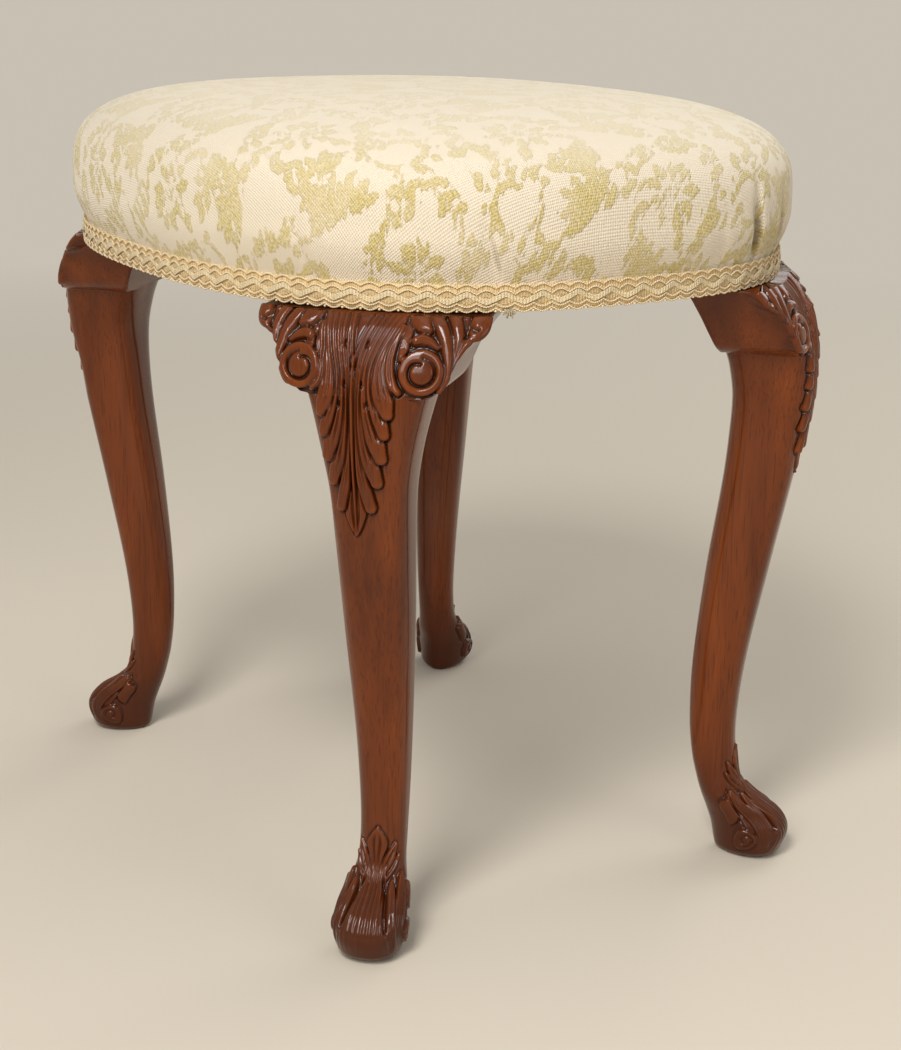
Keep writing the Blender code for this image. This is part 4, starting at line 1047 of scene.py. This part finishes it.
def velvet_material():
    """Cut velvet: ragged pile foliage on a fine ribbed ground, worn and faded in places, its pile paled on
    the crown as a painted sheen.
    """
    material, tree, shader = new_material("cut_velvet_cloth")
    flat = add_node(tree, "UVMap", {}, uv_map="UVMap").outputs["UV"]
    axes = add_node(tree, "SeparateXYZ", {"Vector": flat}).outputs
    rib = waves(tree, axes["Y"], RIB_PITCH)
    pick = waves(tree, axes["X"], PICK_PITCH)
    ragged = stretched_noise(tree, flat, (0.35, 1.0, 1.0), 420.0, 3.0, 0.6)
    clumps = stretched_noise(tree, flat, EVENLY, 150.0, 3.0, 0.6)
    worn = stretched_noise(tree, flat, EVENLY, 22.0, 3.0, 0.6)
    grain = stretched_noise(tree, flat, (0.6, 1.0, 1.0), 1300.0, 2.0, 0.6)
    tufts = stretched_noise(tree, flat, (0.7, 1.0, 1.0), 700.0, 2.0, 0.5)
    slanted = add_node(tree, "Mapping", {"Vector": flat, "Rotation": (0.0, 0.0, radians(35))}).outputs[0]
    cuts = stretched_noise(tree, slanted, (0.25, 1.0, 1.0), 240.0, 2.0, 0.5)
    edge = calculate(tree, "ADD", painted(tree, "foliage"), graded(tree, ragged, 0.25, 0.75, -1.3, 1.1))
    edge = calculate(tree, "ADD", edge, graded(tree, clumps, 0.30, 0.70, -1.2, 0.8))
    edge = calculate(tree, "SUBTRACT", edge, graded(tree, cuts, 0.51, 0.66, 0.0, 4.4))
    pile = graded(tree, edge, -0.7, 0.7)
    pile = calculate(tree, "MULTIPLY", pile, graded(tree, worn, 0.34, 0.56, 0.6, 1.0))
    pile = calculate(tree, "MULTIPLY", pile, graded(tree, tufts, 0.34, 0.50, 0.45, 1.0))
    ground = tinted(tree, GROUND_CREAM, GROUND_SHADE, rib, -1.0, 0.4, 0.55, 0.0)
    ground = tinted(tree, ground, GROUND_SHADE, grain, 0.45, 0.75, 0.0, 0.35)
    # Painted shade: the pile turns olive near its edges, where its thickness would shade it, and between its
    # tufts.
    gold = tinted(tree, PILE_GOLD, PILE_OLIVE, edge, 0.0, 1.5, 0.8, 0.1)
    gold = tinted(tree, gold, PILE_OLIVE, tufts, 0.50, 0.66, 0.0, 0.8)
    gold = tinted(tree, gold, GROUND_CREAM, clumps, 0.5, 0.8, 0.0, 0.3)
    height = add_node(tree, "SeparateXYZ", {"Vector": object_place(tree)}).outputs["Z"]
    # Painted sheen: the pile pales towards the cream ground on the crown, as grazing light would wash it out.
    gold = tinted(tree, gold, GROUND_CREAM, height, 0.428, 0.464, 0.0, 0.60)
    colour = mix_colours(tree, pile, ground, gold)
    colour = tinted(tree, colour, CREASE_SHADE, painted(tree, "crease"), 0.25, 0.9, 0.0, 0.8)
    set_inputs(tree, shader, {"Base Color": colour, "Roughness": 0.92, "Specular IOR Level": 0.15,
                              "Sheen Weight": 0.45, "Sheen Roughness": 0.4,
                              "Sheen Tint": (1.0, 0.95, 0.82, 1.0)})
    threads = calculate(tree, "MULTIPLY", calculate(tree, "ADD", rib, pick), 0.20)
    raised = calculate(tree, "ADD", threads, pile)
    raised = calculate(tree, "ADD", raised, calculate(tree, "MULTIPLY", grain, 0.8))
    set_bump(tree, shader, raised, 0.0008, 0.65)
    return material


cover_turns = crowded_turns(COVER_COLUMNS)
cover_points, crease = seat_points(cover_turns, COVER_CROWN_RINGS, COVER_SIDE_RINGS, 0.0, COVER_LOW[2])
turned_under = cover_points[:1] * (TURNED_UNDER, TURNED_UNDER, 1.0)
cover_points = np.concatenate((turned_under, cover_points))
crease = np.concatenate((crease[:1], crease))
edge_reach = plan_radius(SEAT_HALF_LENGTH + BULGE, SEAT_HALF_WIDTH + BULGE, cover_turns)[None, :]
level = cover_points[:, :, 2]
reach = np.hypot(cover_points[:, :, 0], cover_points[:, :, 1]) + DROP_SHARE * (CROWN_TOP - level)
down_the_side = edge_reach + DROP_SHARE * (CROWN_TOP - CROWN_EDGE) + CROWN_EDGE - level
reach = np.where(level < CROWN_EDGE, down_the_side, reach)
cover_flat = reach[:, :, None] * np.stack((np.cos(cover_turns), np.sin(cover_turns)), axis=1)[None]
pattern = cover_flat / MM / PATTERN_SCALE + PATTERN_SHIFT
field = foliage_field(pattern[:, :, 0], pattern[:, :, 1])
cover_mesh = grid_mesh("velvet_cover", cover_points, cover_flat, foliage=field, crease=crease)
cover = new_piece("velvet_cover", cover_mesh, velvet_material(), "cut_velvet", "seat_cover")

# Gimp braid
# A woven gimp, scalloped cords each side of an open plait, is glued round the lower edge of the cover.
# Its two ends are butted and meet in a small tuft beside the front leg.
BRAID_REPEATS = 138
BRAID_STEPS = 10
BRAID_LOW, BRAID_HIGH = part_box("gimp_braid")
BRAID_MIDDLE = (BRAID_LOW[2] + BRAID_HIGH[2]) / 2
CORDS = (
    # height from the middle, distance out, radius and how far its scallops rise, in metres
    (0.00645, 0.0011, 0.00052, 0.0019),
    (0.0033, 0.0013, 0.00052, 0.0023),
    (-0.00385, 0.0013, 0.00052, -0.0019),
    (-0.0064, 0.0011, 0.00052, -0.0020),
)
CORD_SIDES = 5
SCALLOP_MIDDLE = 0.6
PLAIT_SHARPNESS = 0.99
PLAIT_SWING = 0.0023
PLAIT_RISE = 0.0006
PLAIT_OVER = 0.0012
PLAIT_UNDER = 0.0006
PLAIT_THREADS = 4
PLAIT_PITCH = 0.00072
PLAIT_THREAD_RADIUS = 0.00042
BRAID_FACE = -0.0024
# Each edge of the tape behind the cords: distances out from the braid's face and in from its edge
TAPE_EDGE = ((-0.0004, 0.0010), (0.0002, 0.0006), (0.0006, 0.0020))
BEAD_RADIUS = 0.0008
BEAD_OUT = 0.0008
BEAD_UP = 0.0011
JOIN_TURN = radians(-18.0)
FRAYED_THREADS = 13
FRAYED_STEPS = 6
FRAYED_LENGTH = 0.0040
FRAYED_UNEVENNESS = 0.0010
FRAYED_OUT = 0.0018
FRAYED_UP = 0.0022
FRAYED_SPREAD = 0.0020
FRAYED_SPLAY = 0.0012


def headings(path):
    """Return the direction along a closed path at each of its points."""
    along = np.gradient(path, axis=0)
    along[0] = along[-1] = along[0] + along[-1]
    return along / np.linalg.norm(along, axis=1, keepdims=True)


def round_the_seat(steps):
    """Return points spaced evenly round the edge of the seat, with the directions out and along there."""
    turns = np.linspace(0, 2 * pi, FINE_STEPS + 1)
    edge = plan_points(SEAT_HALF_LENGTH, SEAT_HALF_WIDTH, turns, [1.0], [0.0])[0]
    run = run_along(edge)
    even = np.linspace(0, run[-1], steps + 1)
    points = np.stack([np.interp(even, run, edge[:, i]) for i in range(3)], axis=1)
    along = headings(points)
    return points, np.cross(along, (0.0, 0.0, 1.0)), along


def round_section(radius):
    """Return a thread's section."""
    turns = np.linspace(0, -2 * pi, CORD_SIDES + 1)
    return np.stack((radius * np.cos(turns), radius * np.sin(turns)), axis=1)


def cord_points(out, height, radius):
    """Return a closed cord round the seat, at given distances out from the edge and given heights."""
    path = EDGE + out[:, None] * EDGE_OUT
    path[:, 2] += height
    up = np.cross(EDGE_OUT, headings(path))
    up /= np.linalg.norm(up, axis=1, keepdims=True)
    section = round_section(radius)
    return path[:, None] + section[None, :, :1] * EDGE_OUT[:, None] + section[None, :, 1:] * up[:, None]


BRAID_LIGHT = (0.92, 0.74, 0.46)
BRAID_MID = (0.86, 0.66, 0.37)
BRAID_DARK = (0.58, 0.39, 0.17)


def thread_material(name, light, middle, twist):
    """Twisted cotton and rayon thread, its twist running round each cord."""
    material, tree, shader = new_material(name)
    axes = add_node(tree, "SeparateXYZ", {"Vector": add_node(tree, "TexCoord", {}).outputs["UV"]}).outputs
    place = object_place(tree)
    lie = calculate(tree, "ADD", axes["X"], calculate(tree, "MULTIPLY", axes["Y"], twist))
    strand = waves(tree, lie, 0.5)
    fuzz = stretched_noise(tree, place, EVENLY, 900.0, 2.0)
    stain = stretched_noise(tree, place, EVENLY, 60.0, 3.0)
    colour = tinted(tree, middle, light, strand, -0.9, 0.4, 0.0, 1.0)
    colour = tinted(tree, colour, middle, fuzz, 0.50, 0.80, 0.0, 0.6)
    colour = tinted(tree, colour, middle, stain, 0.52, 0.75, 0.0, 0.5)
    set_inputs(tree, shader, {"Base Color": colour, "Roughness": 0.7, "Specular IOR Level": 0.3,
                              "Sheen Weight": 0.2})
    set_bump(tree, shader, calculate(tree, "ADD", strand, fuzz), 0.0003, 0.8)
    return material


EDGE, EDGE_OUT, EDGE_ALONG = round_the_seat(BRAID_REPEATS * BRAID_STEPS)
phase = np.arange(BRAID_REPEATS * BRAID_STEPS + 1) / BRAID_STEPS * pi
cords = []
for height, out, radius, rise in CORDS:
    level = BRAID_MIDDLE + height + rise * (abs(np.sin(phase)) - SCALLOP_MIDDLE)
    cords.append(cord_points(np.full_like(phase, BRAID_FACE + out), level, radius))
THREAD = thread_material("gimp_thread", BRAID_LIGHT, BRAID_MID, BRAID_REPEATS * 4)


def joined(name, sheets):
    """Return one mesh made of several sheets of points."""
    bm = bmesh.new()
    for sheet in sheets:
        part = grid_mesh(name, sheet)
        bm.from_mesh(part)
        bpy.data.meshes.remove(part)
    return finished_mesh(name, bm)


new_piece("braid_cords", joined("braid_cords", cords), THREAD, "gimp_braid", "gimp_braid")
zigzag = PLAIT_SWING * np.arcsin(PLAIT_SHARPNESS * np.sin(phase)) * 2 / pi
stack = PLAIT_PITCH * (np.arange(PLAIT_THREADS) - (PLAIT_THREADS - 1) / 2)
over_out = BRAID_FACE + PLAIT_OVER + PLAIT_RISE * np.cos(phase)
under_out = np.full_like(phase, BRAID_FACE + PLAIT_UNDER)
over = [cord_points(over_out, BRAID_MIDDLE + lift + zigzag, PLAIT_THREAD_RADIUS) for lift in stack]
under = [cord_points(under_out, BRAID_MIDDLE + lift - zigzag, PLAIT_THREAD_RADIUS) for lift in stack]
PLAIT_THREAD = thread_material("plait_thread", (0.94, 0.79, 0.52), (0.84, 0.65, 0.36), BRAID_REPEATS * 3)
SHADED_THREAD = thread_material("shaded_thread", (0.86, 0.66, 0.36), (0.64, 0.44, 0.19), BRAID_REPEATS * 3)
new_piece("braid_plait", joined("braid_plait", over), PLAIT_THREAD, "gimp_braid")
new_piece("braid_under_plait", joined("braid_under_plait", under), SHADED_THREAD, "gimp_braid")
tape_section = [(out, BRAID_LOW[2] + inside) for out, inside in TAPE_EDGE]
tape_section += [(out, BRAID_HIGH[2] - inside) for out, inside in reversed(TAPE_EDGE)]
tape = np.array([EDGE + (BRAID_FACE + out) * EDGE_OUT + (0.0, 0.0, level) for out, level in tape_section])
TAPE = woven_material("gimp_ground", BRAID_DARK, BRAID_MID, 0.0016, 0.0016, 0.0003)
new_piece("braid_ground", grid_mesh("braid_ground", tape), TAPE, "gimp_braid")

bm = bmesh.new()
for place, out in zip(EDGE[:-1:BRAID_STEPS], EDGE_OUT[:-1:BRAID_STEPS]):
    bead = Vector(place + (BRAID_FACE + BEAD_OUT) * out + (0.0, 0.0, BRAID_LOW[2] + BEAD_UP))
    bmesh.ops.create_icosphere(bm, subdivisions=1, radius=BEAD_RADIUS, matrix=Matrix.Translation(bead))
new_piece("braid_beads", finished_mesh("braid_beads", bm), PLAIT_THREAD, "gimp_braid")
join = int(np.argmin(abs(np.arctan2(EDGE[:, 1], EDGE[:, 0]) - JOIN_TURN)))
join_out = np.repeat(EDGE_OUT[join:join + 1], FRAYED_STEPS, axis=0)
join_along = np.repeat(EDGE_ALONG[join:join + 1], FRAYED_STEPS, axis=0)
root = EDGE[join] + (BRAID_FACE + FRAYED_OUT) * join_out + (0.0, 0.0, BRAID_LOW[2] + FRAYED_UP)
run = np.linspace(0, 1, FRAYED_STEPS)[:, None]
frayed = []
for i in range(FRAYED_THREADS):
    splay = 2 * i / (FRAYED_THREADS - 1) - 1
    length = FRAYED_LENGTH + FRAYED_UNEVENNESS * sin(5.1 * i)
    aside = FRAYED_SPREAD * splay + FRAYED_SPLAY * splay * run**1.4
    out = FRAYED_SPLAY * sin(2.3 * i) * run**2
    path = root + aside * join_along + out * join_out - run * (0.0, 0.0, length * cos(0.7 * splay))
    frayed.append(swept(path, join_out, join_along, round_section(PLAIT_THREAD_RADIUS)))
new_piece("braid_ends", joined("braid_ends", frayed), PLAIT_THREAD, "gimp_braid")

# Bottom cloth
# A sheet of black cambric closes the underside, cut back round the four posts and tacked to the rails.
# Its edge is turned in, and the cloth sags a little between the rails.
CLOTH_LOW, CLOTH_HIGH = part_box("bottom_cloth")
CLOTH_SAG = 0.004
CLOTH_RINGS = 22
CLOTH_COLUMNS = 240
CLOTH_LIFT = 0.0004
CLOTH_HEM = (0.985, 1.0, 0.985)
CLOTH_HEM_LIFTS = (0.0005, 0.0003)
CLOTH_INSIDE = 0.96
CORNER_CUT = -0.0555
cloth_turns = np.linspace(0, -2 * pi, CLOTH_COLUMNS + 1)
cloth_shares = np.concatenate((CLOTH_HEM, np.linspace(CLOTH_INSIDE, 0.0, CLOTH_RINGS)))
cloth_levels = CLOTH_LOW[2] + CLOTH_LIFT - CLOTH_SAG * (1 - cloth_shares**2) * (1 - cloth_shares**6)
cloth_levels[:2] += CLOTH_HEM_LIFTS
cloth_points = plan_points(CLOTH_HIGH[0], CLOTH_HIGH[1], cloth_turns, cloth_shares, cloth_levels)
bm = bmesh.new()
sheet_mesh = grid_mesh("cambric_sheet", cloth_points)
bm.from_mesh(sheet_mesh)
for corner, degrees in LEG_TURNS.items():
    outward_way = Vector((cos(radians(degrees)), sin(radians(degrees)), 0.0))
    cut = LEG_PLACES["sole_" + corner] + CORNER_CUT * outward_way
    everything = bm.verts[:] + bm.edges[:] + bm.faces[:]
    bmesh.ops.bisect_plane(bm, geom=everything, dist=10 * MEETING, plane_co=cut, plane_no=outward_way,
                           clear_outer=True)
bm.to_mesh(sheet_mesh)
bm.free()
sheet_mesh.shade_smooth()
CAMBRIC = woven_material("black_cambric_cloth", (0.012, 0.012, 0.013), (0.028, 0.027, 0.027),
                         0.0009, 0.0009, 0.0002)
cloth = new_piece("cambric_sheet", sheet_mesh, CAMBRIC, "black_cambric", "bottom_cloth")

TACK_COUNT = 44
TACK_RADIUS = 0.0042
TACK_INSET = 0.010
TACK_FLATNESS = 0.35
tack_line = (CLOTH_HIGH[0] - TACK_INSET, CLOTH_HIGH[1] - TACK_INSET)
bm = bmesh.new()
for degrees in np.linspace(0, 360, TACK_COUNT, endpoint=False):
    turn = np.array([radians(degrees)])
    place = Vector(plan_points(*tack_line, turn, [1.0], [CLOTH_LOW[2]])[0, 0])
    beside = [(place - LEG_PLACES["sole_" + corner]).to_2d().dot((cos(radians(way)), sin(radians(way))))
              for corner, way in LEG_TURNS.items()]
    if max(beside) < CORNER_CUT - TACK_RADIUS:
        head = Matrix.Translation(place) @ Matrix.Diagonal((1.0, 1.0, TACK_FLATNESS, 1.0))
        bmesh.ops.create_uvsphere(bm, u_segments=8, v_segments=4, radius=TACK_RADIUS, matrix=head)
tacks = new_piece("cambric_tacks", finished_mesh("cambric_tacks", bm), STEEL, "screw_steel")

# Floor, light and camera
# A plain pale floor runs out to a plain pale backdrop under soft studio light.
# The camera stands a little above the seat, to the right of the front.
FLOOR_SIZE = 20.0
FLOOR_COLOUR = (0.68, 0.60, 0.48)
BACKDROP_COLOUR = (0.58, 0.53, 0.45)
BACKDROP_FROM = (0.7, 2.4)
SKY_COLOUR = (0.95, 0.97, 1.0)
SKY_STRENGTH = 0.28


def seen_directly(tree):
    """Return 1 where the camera or a polished surface looks at this, and 0 where it only gives light."""
    path = add_node(tree, "LightPath", {}).outputs
    seen = calculate(tree, "MAXIMUM", path["Is Camera Ray"], path["Is Glossy Ray"])
    return calculate(tree, "MAXIMUM", seen, path["Is Transmission Ray"])


bm = bmesh.new()
bmesh.ops.create_grid(bm, x_segments=1, y_segments=1, size=FLOOR_SIZE)
floor_mesh = finished_mesh("floor", bm)
floor = bpy.data.objects.new("floor", floor_mesh)
bpy.context.scene.collection.objects.link(floor)
floor_paint, tree, shader = new_material("pale_floor")
set_inputs(tree, shader, {"Base Color": (*FLOOR_COLOUR, 1.0), "Roughness": 0.9})
away = add_node(tree, "VectorMath", {0: object_place(tree)}, operation="LENGTH").outputs["Value"]
far = calculate(tree, "MULTIPLY", graded(tree, away, *BACKDROP_FROM), seen_directly(tree))
glow = add_node(tree, "Emission", {"Color": (*BACKDROP_COLOUR, 1.0)}).outputs[0]
surface = add_node(tree, "MixShader", {0: far, 1: shader.outputs[0], 2: glow}).outputs[0]
tree.links.new(surface, tree.nodes["Material Output"].inputs["Surface"])
floor_mesh.materials.append(floor_paint)

world = bpy.data.worlds.new("studio")
bpy.context.scene.world = world
world.use_nodes = True
tree = world.node_tree
sky = tree.nodes["Background"]
set_inputs(tree, sky, {"Color": (*SKY_COLOUR, 1.0), "Strength": SKY_STRENGTH})
backdrop = add_node(tree, "Background", {"Color": (*BACKDROP_COLOUR, 1.0), "Strength": 1.0}).outputs[0]
surface = add_node(tree, "MixShader", {0: seen_directly(tree), 1: sky.outputs[0], 2: backdrop}).outputs[0]
tree.links.new(surface, tree.nodes["World Output"].inputs["Surface"])

LAMP_AIM = Vector((0.0, 0.0, 0.35))
LAMPS = (
    # name, place and size in metres, power in watts
    ("overhead", (0.0, 0.0, 2.3), 1.6, 6),
    ("key", (1.40, -1.62, 1.50), 1.1, 22),
    ("spark", (1.05, -1.20, 2.05), 0.6, 28),
    ("fill", (2.0, 0.6, 0.9), 0.9, 5),
    ("back", (-0.6, 2.1, 1.7), 1.8, 22),
)
for name, place, size, power in LAMPS:
    light = bpy.data.lights.new(name, "AREA")
    light.size = size
    light.energy = power
    lamp = bpy.data.objects.new(name, light)
    lamp.location = place
    lamp.rotation_euler = (LAMP_AIM - Vector(place)).to_track_quat("-Z", "Y").to_euler()
    bpy.context.scene.collection.objects.link(lamp)

CAMERA_PLACE = Vector((1.0801, -0.6100, 0.5477))
CAMERA_AIM = Vector((-0.8267, 0.4875, -0.2809))
CAMERA_ROLL = radians(0.7668)
CAMERA_LENS = 66.65
camera_data = bpy.data.cameras.new("camera")
camera_data.lens = CAMERA_LENS
camera = bpy.data.objects.new("camera", camera_data)
bpy.context.scene.collection.objects.link(camera)
level = CAMERA_AIM.cross(Vector((0, 0, 1))).normalized()
upright = level.cross(CAMERA_AIM).normalized()
rolled = cos(CAMERA_ROLL) * level + sin(CAMERA_ROLL) * upright
raised = cos(CAMERA_ROLL) * upright - sin(CAMERA_ROLL) * level
axes = Matrix((rolled, raised, -CAMERA_AIM.normalized())).transposed().to_4x4()
camera.matrix_world = Matrix.Translation(CAMERA_PLACE) @ axes
bpy.context.scene.camera = camera
bpy.context.scene.view_settings.view_transform = "Standard"
